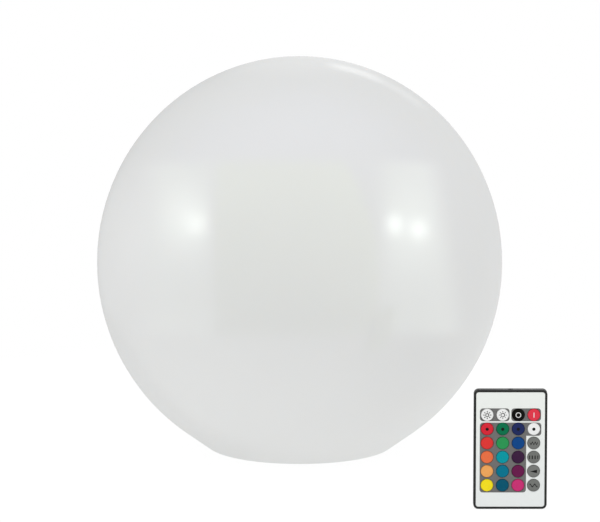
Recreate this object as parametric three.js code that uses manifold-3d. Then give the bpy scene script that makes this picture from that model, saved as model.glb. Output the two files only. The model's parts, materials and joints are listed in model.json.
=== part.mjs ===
// A floating pool light: a hollow milky ball that stands or floats on its flat base, a sealed light
// capsule that a screw ring holds in the neck under it, and the card remote control that goes with it.
//
// Millimetres, +Z up. The origin is the centre of the ball's base plane. The remote stands on its lower
// end in front of the ball and to its right, and its keys face -Y.
import * as THREE from "three";
import { mergeVertices } from "three/addons/utils/BufferGeometryUtils.js";
import Module from "manifold-3d";

const wasm = await Module();
wasm.setup();

// -------------------------------------------------------------------------------- driving dimensions

// Clearances
const seatGap = 0.3; // between pieces that rest on or against each other
const threadGap = 0.5; // all round the screw ring in its collar
const passGap = 1.5; // round the capsule where it passes through the collar
const weldOverlap = 0.5; // how deep a rib, boss or post is rooted in the wall that it grows from
const through = 1; // how far a cutting tool runs past what it cuts

// Ball
const ballDiameter = 300;
const ballStretch = 1.017; // the ball is blown a little taller than it is wide
const ballWall = 3;
const flareAngle = rad(36); // slope of the straight flare above the foot
const footWidth = 5.7; // flat ring that the ball stands on
const footRadius = 8; // rounding between the foot and the flare
const neckWall = 3;
const neckStand = 2; // how far the neck rises past the collar
const neckBossCap = 2; // how far a screw boss rises past its screw
const ballSides = 36;
const capsuleSides = 30;
const ringsBelowEquator = 5;
const ringsAboveEquator = 9;

// Light capsule
const cellLength = 65;
const cellDiameter = 18.4;
const cellCapRadius = 5.2;
const cellCapHeight = 1.2;
const holderWall = 1.6;
const holderWidth = 14;
const holderLip = 6; // how far the holder's end walls rise past its floor
const cupRoom = 0.6;
const cupWall = 2;
const deckThickness = 3; // under the light board
const deckBore = 16;
const cellHeadroom = 3;
const faceRecess = 1; // capsule face above the surface that the ball stands on
const capsuleFloor = 5;
const flangeUnderside = 10;
const flangeThickness = 3.2;
const spigotWall = 2;
const spigotHeight = 4.8;
const boardThickness = 1.6;
const boardInset = 1; // how far the control board lies below the spigot's rim
const boardWidth = 46;
const boardDepth = 40;
const holderRise = 5.4; // from the control board to the battery holder
const holderLegRadius = 2;
const cableThickness = 1;
const lightCableWidth = 6;
const lightCableY = 13.5; // where it leaves the control board
const batteryCableWidth = 3;
const batteryCableX = 14;
const postRadius = 2.5;
const postInset = 4;
const pillarRadius = 3.5;
const pillarInset = 2.9; // from the cup's inner wall to a pillar's axis
const domeSkirt = 4;
const domeRise = 22;
const domeWall = 2;
const domeRings = 4;
const lightBoardInset = 2.5; // between the light board's edge and the dome
const chipSize = 5;
const chipHeight = 1.4;
const outerChips = 10;
const innerChips = 4;
const outerChipCircle = 25;
const innerChipCircle = 13;
const receiverWidth = 7;
const receiverDepth = 5.6;
const receiverHeight = 5;
const receiverLens = 2.4;

// Seal, collar and screw ring
const sealCord = 2.6;
const sealLand = 1.2; // flange left on each side of the seal's groove
const sealGrip = 0.4; // how far the seal stands above the flange
const ringWall = 6;
const ringHeight = 6.7;
const gripRibs = 12;
const gripRibWidth = 2;
const gripRibHeight = 1.8;
const gripInset = 0.6; // from a grip rib's end to the ring's edge
const threadLead = 30; // one turn of the screw ring moves the capsule this far
const threadStarts = 3;
const threadDepth = 2;
const threadWidth = 2.6;
const lugArc = rad(36);
const lugStart = 3.6; // lower flank of a lug, at its leading end
const ribStart = 0.2; // from the collar's mouth to a rib's lower end
const ribEnd = 0.5; // from a rib's upper end to the collar's seat
const ribBreak = rad(5); // least gap between one rib's end and the next one's start, seen from below
const arcStep = rad(12); // of the threads
const collarWall = 3;
const seatThickness = 3;
const collarFlangeThickness = 2.6;
const collarFlangeLand = 4;
const collarRecess = 0.8; // collar flange above the surface that the ball stands on
const gasketThickness = 1;

// Fasteners
const collarScrews = 4;
const collarScrewLength = 13;
const capsuleScrews = 3;
const capsuleScrewLength = 22;
const screwRadius = 1.4;
const screwHole = 0.2; // round a screw's shank
const screwHeadRadius = 2.9;
const screwHeadHeight = 1.6;
const screwPoint = 1;
const screwTipGap = 0.5;
const screwHexRadius = 1.15;
const screwHexDepth = 1.2;
const screwBossRadius = 4;

// Ports in the capsule's face
const portOffset = 17; // switch and charging socket, each side of the centre
const pocketRadius = 7;
const buttonTravel = 1;
const buttonHeadRadius = 6;
const buttonNeckRadius = 4.6;
const buttonHeadHeight = 1.5;
const buttonBevel = 0.6;
const buttonFlangeRadius = 6.2;
const buttonFlangeHeight = 1.2;
const buttonPinRadius = 1.2;
const buttonPinEntry = 1; // how far the pin reaches into the switch at rest
const switchSize = 12;
const switchHeight = 7;
const socketSize = 10;
const socketBarrelRadius = 4.5;
const socketBore = 3.2;
const socketPin = 1.1;
const socketEnd = 1.5; // solid end behind the bore
const plugHeadHeight = 1.7;
const plugStemLength = 7;
const plugWall = 1.4;
const plugTab = 3.4; // pull tab past the plug's head
const plugTabWidth = 5;
const statusOffset = 14;
const statusRadius = 1.5;

// Remote control: x is its width, y its depth and z its height
const remoteX = 149;
const remoteY = -213;
const remoteDepth = 6.5;
const remoteRim = 1.4;
const remoteLedge = 0.7; // step behind the rim that the face plate lies on
const remoteBack = 1;
const remoteCorner = 3.5;
const keyRadius = 4.3;
const keyGapX = 2.4;
const keyGapZ = 1.57;
const keyEdge = 5.2; // from the outer keys' edge to the case's side
const keyTop = 13.6; // from the top row's edge to the case's top
const keyBottom = 12.95;
const keyRows = 6;
const keyColumns = 4;
const keyCrown = 0.75;
const keyShoulder = 2.6; // radius at which the crown turns down
const keyShoulderRise = 0.48;
const keyWall = 0.25; // straight side above the face
const keyLip = 0.6;
const keySides = 12;
const keyLipThickness = 0.3;
const keyTravel = 0.3;
const faceRecessRemote = 0.1;
const faceThickness = 0.8;
const keyLipGap = 0.2; // behind the face
const keyRest = 0.05; // between a pressed key and the dome sheet
const domeSheetThickness = 0.15;
const domeSheetEdge = 2; // past the keys, above and below
const remoteBoardThickness = 0.8;
const remoteBoardCorner = 1;
const remotePostSize = 2;
const remotePostInset = 2;
const coinRadius = 10;
const coinThickness = 2.5;
const trayWall = 1.6;
const trayEnd = 3;
const trayFloor = 0.75;
const trayRecess = 0.2; // end of the tray above the end of the case
const trayOverrun = 0.5; // past the coin cell
const trayGrooves = 3;
const trayGrooveWidth = 0.8;
const trayGrooveDepth = 0.3;
const trayGrooveLength = 12;
const coinStep = 1;
const coinStepHeight = 0.3;
const coinRelief = 0.05;
const contactThickness = 0.2;
const emitterRadius = 1.5;
const emitterLength = 8.4;
const emitterRecess = 0.3;
const contactWidth = 4;
const contactTop = 8; // above the middle of the coin cell
const contactBottom = 6; // below it
const bladeWidth = 8;
const bladeFoot = 5;

// ------------------------------------------------------------------------------------- derived sizes

// Heights in the capsule
const floorTop = faceRecess + capsuleFloor;
const flangeTop = flangeUnderside + flangeThickness;
const spigotTop = flangeTop + spigotHeight;
const boardBase = spigotTop - boardInset;
const boardTop = boardBase + boardThickness;
const holderBase = boardTop + holderRise;
const cellBase = holderBase + holderWall + seatGap;
const deckBase = cellBase + cellDiameter + cellHeadroom;
const deckTop = deckBase + deckThickness;
const switchBase = boardBase - switchHeight;
const socketBase = faceRecess + plugHeadHeight + 2 * seatGap;

// Radii, from the battery cell outwards to the ball's foot
const holderHalfLength = cellLength / 2 + seatGap + holderWall;
const cupInner = Math.max(
  Math.hypot(holderHalfLength, holderWidth / 2),
  Math.hypot(cellLength / 2, cellDiameter / 2),
) + cupRoom;
const cupOuter = cupInner + cupWall;
const spigotOuter = cupInner - seatGap;
const cavityRadius = spigotOuter - spigotWall;
const pillarCircle = cupInner - pillarInset;
const seatBore = cupOuter + passGap;
const grooveInner = seatBore + sealLand;
const grooveOuter = grooveInner + sealCord + 2 * seatGap;
const flangeRadius = grooveOuter + sealLand;
const ringOuter = flangeRadius + 2 * seatGap;
const ringBore = ringOuter - ringWall;
const faceRadius = ringBore - threadGap;
const lugRadius = ringOuter + threadDepth;
const ribRadius = ringOuter + threadGap;
const channelRadius = lugRadius + threadGap;
const collarOuter = channelRadius + collarWall;
const neckBore = collarOuter + seatGap;
const neckOuter = neckBore + neckWall;
const collarFlangeRadius = neckOuter + collarFlangeLand;
const recessRadius = collarFlangeRadius + threadGap;
const screwCircle = (collarOuter + collarFlangeRadius) / 2;
const footOuter = recessRadius + footWidth;

// Heights in the neck
const ringTop = flangeUnderside - seatGap;
const ringBase = ringTop - ringHeight;
const sealSeat = flangeTop + sealGrip + seatGap;
const collarTop = sealSeat + seatThickness;
const collarFlangeTop = collarRecess + collarFlangeThickness;
const gasketTop = collarFlangeTop + gasketThickness;
const neckTop = collarTop + neckStand;

// The flare leaves the ball's arc at a tangent and meets the base plane at the foot's corner, before that
// corner is rounded. The ball's middle is as high as that makes it.
const ballRadius = ballDiameter / 2;
const flareStart = Math.atan(Math.tan(flareAngle) / ballStretch); // on the ball's arc, from the bottom pole
const footTangent = footRadius * Math.tan(flareAngle / 2);
const footCorner = footOuter + footTangent;
const flareRun = ballRadius * Math.sin(flareStart) - footCorner;
const ballCentre = flareRun * Math.tan(flareAngle) + ballRadius * ballStretch * Math.cos(flareStart);

// Remote
const keyPitchX = 2 * keyRadius + keyGapX;
const keyPitchZ = 2 * keyRadius + keyGapZ;
const remoteWidth = (keyColumns - 1) * keyPitchX + 2 * (keyRadius + keyEdge);
const topRowZ = keyBottom + keyRadius + (keyRows - 1) * keyPitchZ;
const remoteHeight = topRowZ + keyRadius + keyTop;
const caseFront = -remoteDepth / 2;
const caseBack = remoteDepth / 2;
const faceFront = caseFront + faceRecessRemote;
const faceBack = faceFront + faceThickness;
const keyBack = faceBack + keyLipGap + keyLipThickness;
const sheetFront = keyBack + keyTravel + keyRest;
const boardFront = sheetFront + domeSheetThickness;
const boardBack = boardFront + remoteBoardThickness;
const coinBack = caseBack - trayFloor;
const coinFront = coinBack - coinThickness;
const trayHalfWidth = coinRadius + seatGap + trayWall;
const coinZ = trayRecess + trayEnd + seatGap + coinRadius;
const trayTop = coinZ + coinRadius + trayOverrun;
const remoteBoardHalfWidth = remoteWidth / 2 - remoteRim - remoteLedge - seatGap;
const remoteBoardTop = remoteHeight - emitterRecess - emitterLength - seatGap;
const contactBack = boardBack + contactThickness;

// The infrared emitter lies between the face and the back, in the middle of the room behind the board.
const emitterY = (boardFront + caseBack - remoteBack) / 2;

// ----------------------------------------------------------------------------------------- materials

function finish(color, roughness, metalness = 0) {
  return new THREE.MeshStandardMaterial({ color, roughness, metalness });
}

const milkyPlastic = finish(0xe2e4e3, 0.25);
const whitePlastic = finish(0xe6e7e5, 0.4);
const blackPlastic = finish(0x2b2b2c, 0.45);
const frostedPlastic = finish(0xf2f3f0, 0.5);
const whiteSilicone = finish(0xdcdedd, 0.7);
const greySilicone = finish(0x8d9193, 0.75);
const steel = finish(0xb9bcbe, 0.3, 1);
const whiteBoard = finish(0xeeeeea, 0.5);
const greenBoard = finish(0x1f5a3a, 0.5);
const blueWrap = finish(0x2b5fa8, 0.4);
const redCable = finish(0xa8282c, 0.5);
const cellCan = finish(0xc9ccce, 0.3, 1);
const facePlastic = finish(0xebedeb, 0.4);
const polyester = finish(0xd8d4c4, 0.5);

// One colour and one name for each key, row by row from the top left.
const keys = [
  ["brighter", 0xf1f2f1], ["dimmer", 0xf1f2f1], ["off", 0x161616], ["on", 0xd9344a],
  ["red", 0xd92c3f], ["green", 0x0f7a52], ["blue", 0x24306e], ["white", 0xf1f2f1],
  ["tomato", 0xe23b3a], ["light_green", 0x3aa35a], ["royal_blue", 0x1650a0], ["flash", 0x727472],
  ["orange", 0xee6c45], ["cyan", 0x10a3ac], ["violet", 0x3a1548], ["strobe", 0x727472],
  ["amber", 0xf6a55c], ["teal", 0x0a7c9c], ["plum", 0x6e1450], ["fade", 0x727472],
  ["yellow", 0xf3e021], ["deep_teal", 0x075a73], ["magenta", 0xc82d75], ["smooth", 0x727472],
];

// ----------------------------------------------------------------------------------- shape functions

function rad(angle) {
  return (angle * Math.PI) / 180;
}

function degrees(angle) {
  return (angle * 180) / Math.PI;
}

// A closed geometry as a manifold-3d solid.
function solid(geometry) {
  const bare = geometry.clone();
  bare.deleteAttribute("normal");
  bare.deleteAttribute("uv");
  const merged = mergeVertices(bare, 1e-4);
  const triangles = [];
  for (let i = 0; i < merged.index.count; i += 3) {
    const [a, b, c] = [0, 1, 2].map((k) => merged.index.getX(i + k));
    if (a !== b && b !== c && c !== a) triangles.push(a, b, c);
  }
  return new wasm.Manifold(
    new wasm.Mesh({
      numProp: 3,
      vertProperties: merged.attributes.position.array,
      triVerts: new Uint32Array(triangles),
    }),
  );
}

// The way back: a solid's vertices and triangles as a geometry.
function geometryOf(made) {
  const mesh = made.getMesh();
  const geometry = new THREE.BufferGeometry();
  geometry.setAttribute("position", new THREE.BufferAttribute(mesh.vertProperties, 3));
  geometry.setIndex(new THREE.BufferAttribute(mesh.triVerts, 1));
  return geometry;
}

function joined(first, ...others) {
  return others.reduce((whole, part) => whole.add(part), first);
}

function cut(body, ...tools) {
  return tools.reduce((left, tool) => left.subtract(tool), body);
}

// A profile of [radius, height] points, turned about Z. The loop closes on itself.
function turned(profile, sides = capsuleSides) {
  const loop = profile.map(([r, z]) => new THREE.Vector2(r, z));
  if (THREE.ShapeUtils.isClockWise(loop)) loop.reverse();
  loop.push(loop[0].clone());
  return solid(new THREE.LatheGeometry(loop, sides).rotateX(Math.PI / 2));
}

function tube(inner, outer, bottom, top, sides) {
  return turned([[inner, bottom], [outer, bottom], [outer, top], [inner, top]], sides);
}

// A round bar from one height to another.
function bar(radius, bottom, top, x = 0, y = 0, sides = 16) {
  const height = top - bottom;
  const shape = new THREE.CylinderGeometry(radius, radius, height, sides).rotateX(Math.PI / 2);
  return solid(shape.translate(x, y, bottom + height / 2));
}

// A box from its lowest to its highest corner.
function block(x0, y0, z0, x1, y1, z1) {
  const shape = new THREE.BoxGeometry(x1 - x0, y1 - y0, z1 - z0);
  return solid(shape.translate((x0 + x1) / 2, (y0 + y1) / 2, (z0 + z1) / 2));
}

// The places of a number of equal pieces round a circle, as [angle, x, y].
function around(count, radius, first = 0) {
  return Array.from({ length: count }, (_, i) => {
    const angle = first + (i * 2 * Math.PI) / count;
    return [angle, radius * Math.cos(angle), radius * Math.sin(angle)];
  });
}

function roundedRectangle(x0, z0, x1, z1, corner) {
  const shape = new THREE.Shape();
  shape.absarc(x1 - corner, z1 - corner, corner, 0, Math.PI / 2);
  shape.absarc(x0 + corner, z1 - corner, corner, Math.PI / 2, Math.PI);
  shape.absarc(x0 + corner, z0 + corner, corner, Math.PI, 1.5 * Math.PI);
  shape.absarc(x1 - corner, z0 + corner, corner, 1.5 * Math.PI, 2 * Math.PI);
  return shape;
}

// A flat outline in x and z, given thickness from one depth to another.
function upright(shape, front, back, curveSegments = 4) {
  const depth = back - front;
  const slab = new THREE.ExtrudeGeometry(shape, { depth, bevelEnabled: false, curveSegments });
  return solid(slab.rotateX(Math.PI / 2).translate(0, back, 0));
}

// A square-section rib that climbs round the Z axis with the thread's lead.
function helicalRib(inner, outer, startAngle, startHeight, arc, width) {
  const steps = Math.ceil(arc / arcStep);
  const points = [];
  for (let i = 0; i <= steps; i++) {
    const turn = (arc * i) / steps;
    const low = startHeight + (threadLead * turn) / (2 * Math.PI);
    const [c, s] = [Math.cos(startAngle + turn), Math.sin(startAngle + turn)];
    for (const [r, z] of [[inner, low], [outer, low], [outer, low + width], [inner, low + width]])
      points.push(r * c, r * s, z);
  }
  const faces = [];
  for (let i = 0; i < steps; i++)
    for (let k = 0; k < 4; k++) {
      const [a, b] = [4 * i + k, 4 * i + ((k + 1) % 4)];
      faces.push(a, b + 4, b, a, a + 4, b + 4);
    }
  const last = 4 * steps;
  faces.push(0, 1, 2, 0, 2, 3, last, last + 2, last + 1, last, last + 3, last + 2);
  const rib = new THREE.BufferGeometry();
  rib.setAttribute("position", new THREE.BufferAttribute(new Float32Array(points), 3));
  rib.setIndex(faces);
  return solid(rib);
}

// A screw that points up, with its countersunk head at the bottom and a hexagon socket in the head.
function screw(length, x, y, bottom) {
  const profile = [
    [0, 0], [screwHeadRadius, 0], [screwRadius, screwHeadHeight],
    [screwRadius, length - screwPoint], [screwRadius / 2, length], [0, length],
  ];
  const body = turned(profile, 12);
  const socket = bar(screwHexRadius, -through, screwHexDepth, 0, 0, 6);
  return cut(body, socket).translate([x, y, bottom]);
}

// The hole that such a screw lies in.
function screwSeat(length, x, y, bottom) {
  const [head, shank] = [screwHeadRadius + screwHole, screwRadius + screwHole];
  const end = length + screwTipGap;
  const profile = [
    [0, -through], [head, -through], [head, 0], [shank, screwHeadHeight], [shank, end], [0, end],
  ];
  return turned(profile, 12).translate([x, y, bottom]);
}

// ---------------------------------------------------------------------------------------------- ball

// The ball's arc from the top of the flare to the top pole, on its outer skin or inset by its wall.
function ballArc(inset, below, above) {
  const radius = ballRadius - inset;
  const halfHeight = radius * ballStretch;
  const equator = Math.PI / 2;
  const angles = [];
  for (let i = 0; i < below; i++) angles.push(flareStart + ((equator - flareStart) * i) / below);
  for (let i = 0; i < above; i++) angles.push(equator + (equator * i) / above);
  const points = angles.map((angle) => [radius * Math.sin(angle), ballCentre - halfHeight * Math.cos(angle)]);
  return [...points, [0, ballCentre + halfHeight]];
}

// Where the inner skin's flare meets the inside of the foot.
function innerCorner([radius, height]) {
  return [radius - (height - ballWall) / Math.tan(flareAngle), ballWall];
}

// The rounded corner between the foot and the flare.
function footRounding() {
  return [0, 0.5, 1].map((share) => {
    const angle = share * flareAngle;
    return [footOuter + footRadius * Math.sin(angle), footRadius * (1 - Math.cos(angle))];
  });
}

function globeShell() {
  const outer = ballArc(0, ringsBelowEquator, ringsAboveEquator);
  const inner = ballArc(ballWall, ringsBelowEquator - 1, ringsAboveEquator - 2);
  const ceiling = gasketTop + ballWall;
  const skin = turned(
    [
      [neckBore, neckTop], [neckBore, gasketTop], [recessRadius, gasketTop], [recessRadius, 0],
      ...footRounding(), ...outer,
      ...inner.toReversed(), innerCorner(inner[0]), [recessRadius + ballWall, ballWall],
      [recessRadius + ballWall, ceiling], [neckOuter, ceiling], [neckOuter, neckTop],
    ],
    ballSides,
  );
  const bosses = around(collarScrews, screwCircle, rad(45)).map(([, x, y]) =>
    bar(screwBossRadius, ceiling - weldOverlap, collarRecess + collarScrewLength + neckBossCap, x, y),
  );
  const holes = around(collarScrews, screwCircle, rad(45)).map(([, x, y]) =>
    screwSeat(collarScrewLength, x, y, collarRecess),
  );
  return cut(joined(skin, ...bosses), bar(neckBore, 0, neckTop + through, 0, 0, ballSides), ...holes);
}

function neckCollar() {
  const body = turned(
    [
      [channelRadius, collarRecess], [collarFlangeRadius, collarRecess],
      [collarFlangeRadius, collarFlangeTop], [collarOuter, collarFlangeTop],
      [collarOuter, collarTop], [seatBore, collarTop], [seatBore, sealSeat], [channelRadius, sealSeat],
    ],
    ballSides,
  );
  // Each rib lies under the flank of a lug and follows it down to the collar's mouth.
  const drop = seatGap + threadWidth;
  const firstHeight = collarRecess + ribStart;
  const lead = ((firstHeight - (lugStart - drop)) * 2 * Math.PI) / threadLead;
  const rise = sealSeat - threadWidth - ribEnd - firstHeight;
  const arc = Math.min((rise * 2 * Math.PI) / threadLead, (2 * Math.PI) / threadStarts - ribBreak);
  const ribs = around(threadStarts, 1).map(([angle]) =>
    helicalRib(ribRadius, channelRadius + weldOverlap, angle + lead, firstHeight, arc, threadWidth),
  );
  const seats = around(collarScrews, screwCircle, rad(45)).map(([, x, y]) =>
    screwSeat(collarScrewLength, x, y, collarRecess),
  );
  return cut(joined(body, ...ribs), ...seats);
}

function collarGasket() {
  const washer = tube(collarOuter + seatGap, collarFlangeRadius, collarFlangeTop, gasketTop, ballSides);
  const holes = around(collarScrews, screwCircle, rad(45)).map(([, x, y]) =>
    bar(screwRadius + screwHole, 0, neckTop, x, y, 12),
  );
  return cut(washer, ...holes);
}

function lockingRing() {
  const lip = tube(ringBore, ringOuter, ringBase, ringTop, ballSides);
  const lugs = around(threadStarts, 1).map(([angle]) =>
    helicalRib(ringOuter - weldOverlap, lugRadius, angle, lugStart, lugArc, threadWidth),
  );
  const half = gripRibWidth / 2;
  const [low, high] = [ringBase - gripRibHeight, ringBase + weldOverlap];
  const grips = around(gripRibs, 1).map(([angle]) =>
    block(ringBore + gripInset, -half, low, ringOuter - gripInset, half, high).rotate([0, 0, degrees(angle)]),
  );
  return joined(lip, ...lugs, ...grips);
}

// ------------------------------------------------------------------------------------------- capsule

const pillars = around(capsuleScrews, pillarCircle, rad(90));

// The pocket round the charging plug, with room for its pull tab.
function plugPocket() {
  const half = plugTabWidth / 2 + seatGap;
  const depth = faceRecess + plugHeadHeight + seatGap;
  return joined(
    bar(pocketRadius, 0, depth, portOffset, 0, 20),
    block(portOffset, -half, 0, portOffset + pocketRadius + plugTab, half, depth),
  );
}

function capsuleBase() {
  const body = turned([
    [0, faceRecess], [faceRadius, faceRecess], [faceRadius, flangeUnderside],
    [flangeRadius, flangeUnderside], [flangeRadius, flangeTop], [grooveOuter, flangeTop],
    [grooveOuter, flangeTop - sealCord + sealGrip], [grooveInner, flangeTop - sealCord + sealGrip],
    [grooveInner, flangeTop], [spigotOuter, flangeTop], [spigotOuter, spigotTop],
    [cavityRadius, spigotTop], [cavityRadius, floorTop], [0, floorTop],
  ]);
  const tubes = pillars.map(([, x, y]) => bar(pillarRadius, floorTop - weldOverlap, flangeTop, x, y));
  const posts = [-1, 1].flatMap((i) =>
    [-1, 1].map((j) => {
      const [x, y] = [i * (boardWidth / 2 - postInset), j * (boardDepth / 2 - postInset)];
      return bar(postRadius, floorTop - weldOverlap, boardBase, x, y, 12);
    }),
  );
  const screwHoles = pillars.map(([, x, y]) => screwSeat(capsuleScrewLength, x, y, faceRecess + seatGap));
  const buttonPocket = faceRecess + seatGap + buttonHeadHeight + buttonTravel + seatGap;
  return cut(
    joined(body, ...tubes, ...posts),
    ...screwHoles,
    bar(pocketRadius, 0, buttonPocket, -portOffset, 0, 20),
    bar(buttonNeckRadius + seatGap, 0, floorTop + through, -portOffset, 0, 20),
    plugPocket(),
    bar(socketBarrelRadius + seatGap, 0, floorTop + through, portOffset, 0, 20),
    bar(statusRadius + seatGap, 0, floorTop + through, 0, statusOffset, 12),
  );
}

function capsuleCup() {
  const wall = turned([
    [cupInner, flangeTop], [cupOuter, flangeTop], [cupOuter, deckTop],
    [deckBore / 2, deckTop], [deckBore / 2, deckBase], [cupInner, deckBase],
  ]);
  const columns = pillars.map(([, x, y]) =>
    bar(pillarRadius, spigotTop + seatGap, deckBase + weldOverlap, x, y),
  );
  const holes = pillars.map(([, x, y]) => screwSeat(capsuleScrewLength, x, y, faceRecess + seatGap));
  return cut(joined(wall, ...columns), ...holes);
}

function sealRing() {
  const middle = (grooveInner + grooveOuter) / 2;
  const height = flangeTop + sealGrip - sealCord / 2;
  return solid(new THREE.TorusGeometry(middle, sealCord / 2, 6, capsuleSides).translate(0, 0, height));
}

function lightDiffuser() {
  const arch = (radius, rise) =>
    Array.from({ length: domeRings + 1 }, (_, i) => {
      const angle = (i * Math.PI) / 2 / domeRings;
      return [i === domeRings ? 0 : radius * Math.cos(angle), deckTop + domeSkirt + rise * Math.sin(angle)];
    });
  return turned([
    [cupOuter - domeWall, deckTop], [cupOuter, deckTop],
    ...arch(cupOuter, domeRise), ...arch(cupOuter - domeWall, domeRise - domeWall).reverse(),
  ]);
}

function lightBoard() {
  const radius = cupOuter - domeWall - lightBoardInset;
  const board = bar(radius, deckTop, deckTop + boardThickness, 0, 0, capsuleSides);
  const chip = (angle, x, y) => {
    const half = chipSize / 2;
    const low = boardThickness - weldOverlap;
    const body = block(-half, -half, low, half, half, boardThickness + chipHeight);
    return body.rotate([0, 0, degrees(angle)]).translate([x, y, deckTop]);
  };
  const chips = [...around(outerChips, outerChipCircle), ...around(innerChips, innerChipCircle, rad(45))];
  return joined(board, ...chips.map(([angle, x, y]) => chip(angle, x, y)));
}

function infraredReceiver() {
  const [w, d] = [receiverWidth / 2, receiverDepth / 2];
  const base = deckTop + boardThickness;
  const body = block(-w, -d, base, w, d, base + receiverHeight);
  const lens = new THREE.SphereGeometry(receiverLens, 10, 8).translate(0, 0, base + receiverHeight);
  return body.add(solid(lens));
}

// What stands on the control board: the middle of each part, then its width, depth and height.
const lightConnector = { x: 0, y: lightCableY + cableThickness / 2, width: 8, depth: 4, height: 3 };
const batteryConnector = { x: 15.5, y: -14.5, width: 7, depth: 5, height: 4.4 };
const boardChips = [
  lightConnector,
  batteryConnector,
  { x: 0, y: -11, width: 10, depth: 3.5, height: 1.6 }, // driver
  { x: 13, y: 13, width: 8, depth: 5, height: 1.4 }, // charging controller
  { x: -14, y: 13, width: 5, depth: 5, height: 3 }, // inductor
  { x: -15, y: -13, width: 3, depth: 3, height: 2.5 }, // smoothing capacitor
];

function onBoard({ x, y, width, depth, height }, top) {
  const [w, d] = [width / 2, depth / 2];
  return block(x - w, y - d, top - weldOverlap, x + w, y + d, top + height);
}

function controlBoard() {
  const [w, d] = [boardWidth / 2, boardDepth / 2];
  const chips = boardChips.map((chip) => onBoard(chip, boardTop));
  return joined(block(-w, -d, boardBase, w, d, boardTop), ...chips);
}

// A flat cable that rises beside the battery and turns over it, through the deck and up to the light board.
function lightCable() {
  const half = lightCableWidth / 2;
  const low = boardTop + lightConnector.height;
  const overCell = cellBase + cellDiameter + (cellHeadroom - cableThickness) / 2;
  const near = deckBore / 2 - 1 - cableThickness;
  const far = lightCableY + cableThickness;
  return joined(
    block(-half, lightCableY, low, half, far, overCell + cableThickness),
    block(-half, near, overCell, half, far, overCell + cableThickness),
    block(-half, near, overCell, half, near + cableThickness, deckTop),
  );
}

// A short cable from the battery connector to the side of the holder.
function batteryCable() {
  const [x0, x1] = [batteryCableX, batteryCableX + batteryCableWidth];
  const y = batteryConnector.y;
  const top = holderBase + holderWall - seatGap;
  return joined(
    block(x0, y, boardTop + batteryConnector.height, x1, y + cableThickness, top),
    block(x0, y, top - cableThickness, x1, -holderWidth / 2 - seatGap, top),
  );
}

function batteryHolder() {
  const [l, w] = [holderHalfLength, holderWidth / 2];
  const end = l - holderWall;
  const rimTop = holderBase + holderWall;
  const endTop = cellBase + cellDiameter / 2 + holderLip;
  const legs = [-1, 1].flatMap((i) =>
    [-1, 1].map((j) => {
      const [x, y] = [i * (boardWidth / 2 - postInset), j * (w - holderLegRadius - seatGap)];
      return bar(holderLegRadius, boardTop, holderBase + weldOverlap, x, y, 10);
    }),
  );
  return joined(
    block(-l, -w, holderBase, l, w, rimTop),
    block(-l, -w, holderBase, -end, w, endTop),
    block(end, -w, holderBase, l, w, endTop),
    ...legs,
  );
}

// The cell lies along X. Its positive end has a small raised cap.
function batteryCell() {
  const [half, radius] = [cellLength / 2, cellDiameter / 2];
  const shoulder = half - cellCapHeight;
  const profile = [
    [0, -half], [radius, -half], [radius, shoulder],
    [cellCapRadius, shoulder], [cellCapRadius, half], [0, half],
  ];
  const body = turned(profile, 20);
  return body.rotate([0, 90, 0]).translate([0, 0, cellBase + cellDiameter / 2]);
}

function switchBody() {
  const half = switchSize / 2;
  const body = block(-portOffset - half, -half, switchBase, -portOffset + half, half, boardBase);
  const boreTop = switchBase + buttonPinEntry + buttonTravel + seatGap;
  const bore = bar(buttonPinRadius + seatGap, switchBase - through, boreTop, -portOffset, 0, 12);
  return cut(body, bore);
}

function powerButton() {
  const low = faceRecess + seatGap;
  const flangeLow = floorTop + seatGap;
  const flangeHigh = flangeLow + buttonFlangeHeight;
  const headTop = low + buttonHeadHeight;
  const pinTop = switchBase + buttonPinEntry;
  const profile = [
    [0, low], [buttonHeadRadius - buttonBevel, low], [buttonHeadRadius, low + buttonBevel],
    [buttonHeadRadius, headTop], [buttonNeckRadius, headTop],
    [buttonNeckRadius, flangeLow], [buttonFlangeRadius, flangeLow], [buttonFlangeRadius, flangeHigh],
    [buttonPinRadius, flangeHigh], [buttonPinRadius, pinTop], [0, pinTop],
  ];
  return turned(profile, 20).translate([-portOffset, 0, 0]);
}

function chargeSocket() {
  const half = socketSize / 2;
  const body = joined(
    block(portOffset - half, -half, floorTop + seatGap, portOffset + half, half, boardBase),
    bar(socketBarrelRadius, socketBase, floorTop + seatGap + weldOverlap, portOffset, 0, 20),
  );
  const boreTop = boardBase - socketEnd;
  const pin = bar(socketPin, socketBase + plugHeadHeight, boreTop + weldOverlap, portOffset, 0, 10);
  return joined(cut(body, bar(socketBore, 0, boreTop, portOffset, 0, 16)), pin);
}

function chargePlug() {
  const low = faceRecess + 0.1;
  const high = faceRecess + plugHeadHeight;
  const stem = socketBore - seatGap;
  const stemTop = high + plugStemLength;
  const tabEnd = portOffset + pocketRadius + plugTab - seatGap;
  const body = joined(
    bar(pocketRadius - seatGap, low, high, portOffset, 0, 20),
    block(portOffset, -plugTabWidth / 2, low, tabEnd, plugTabWidth / 2, high),
    bar(stem, high - weldOverlap, stemTop, portOffset, 0, 16),
  );
  return cut(body, bar(stem - plugWall, high, stemTop + through, portOffset, 0, 12));
}

function statusLightPipe() {
  return bar(statusRadius, faceRecess + seatGap, boardBase, 0, statusOffset, 12);
}

// -------------------------------------------------------------------------------------------- remote

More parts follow.
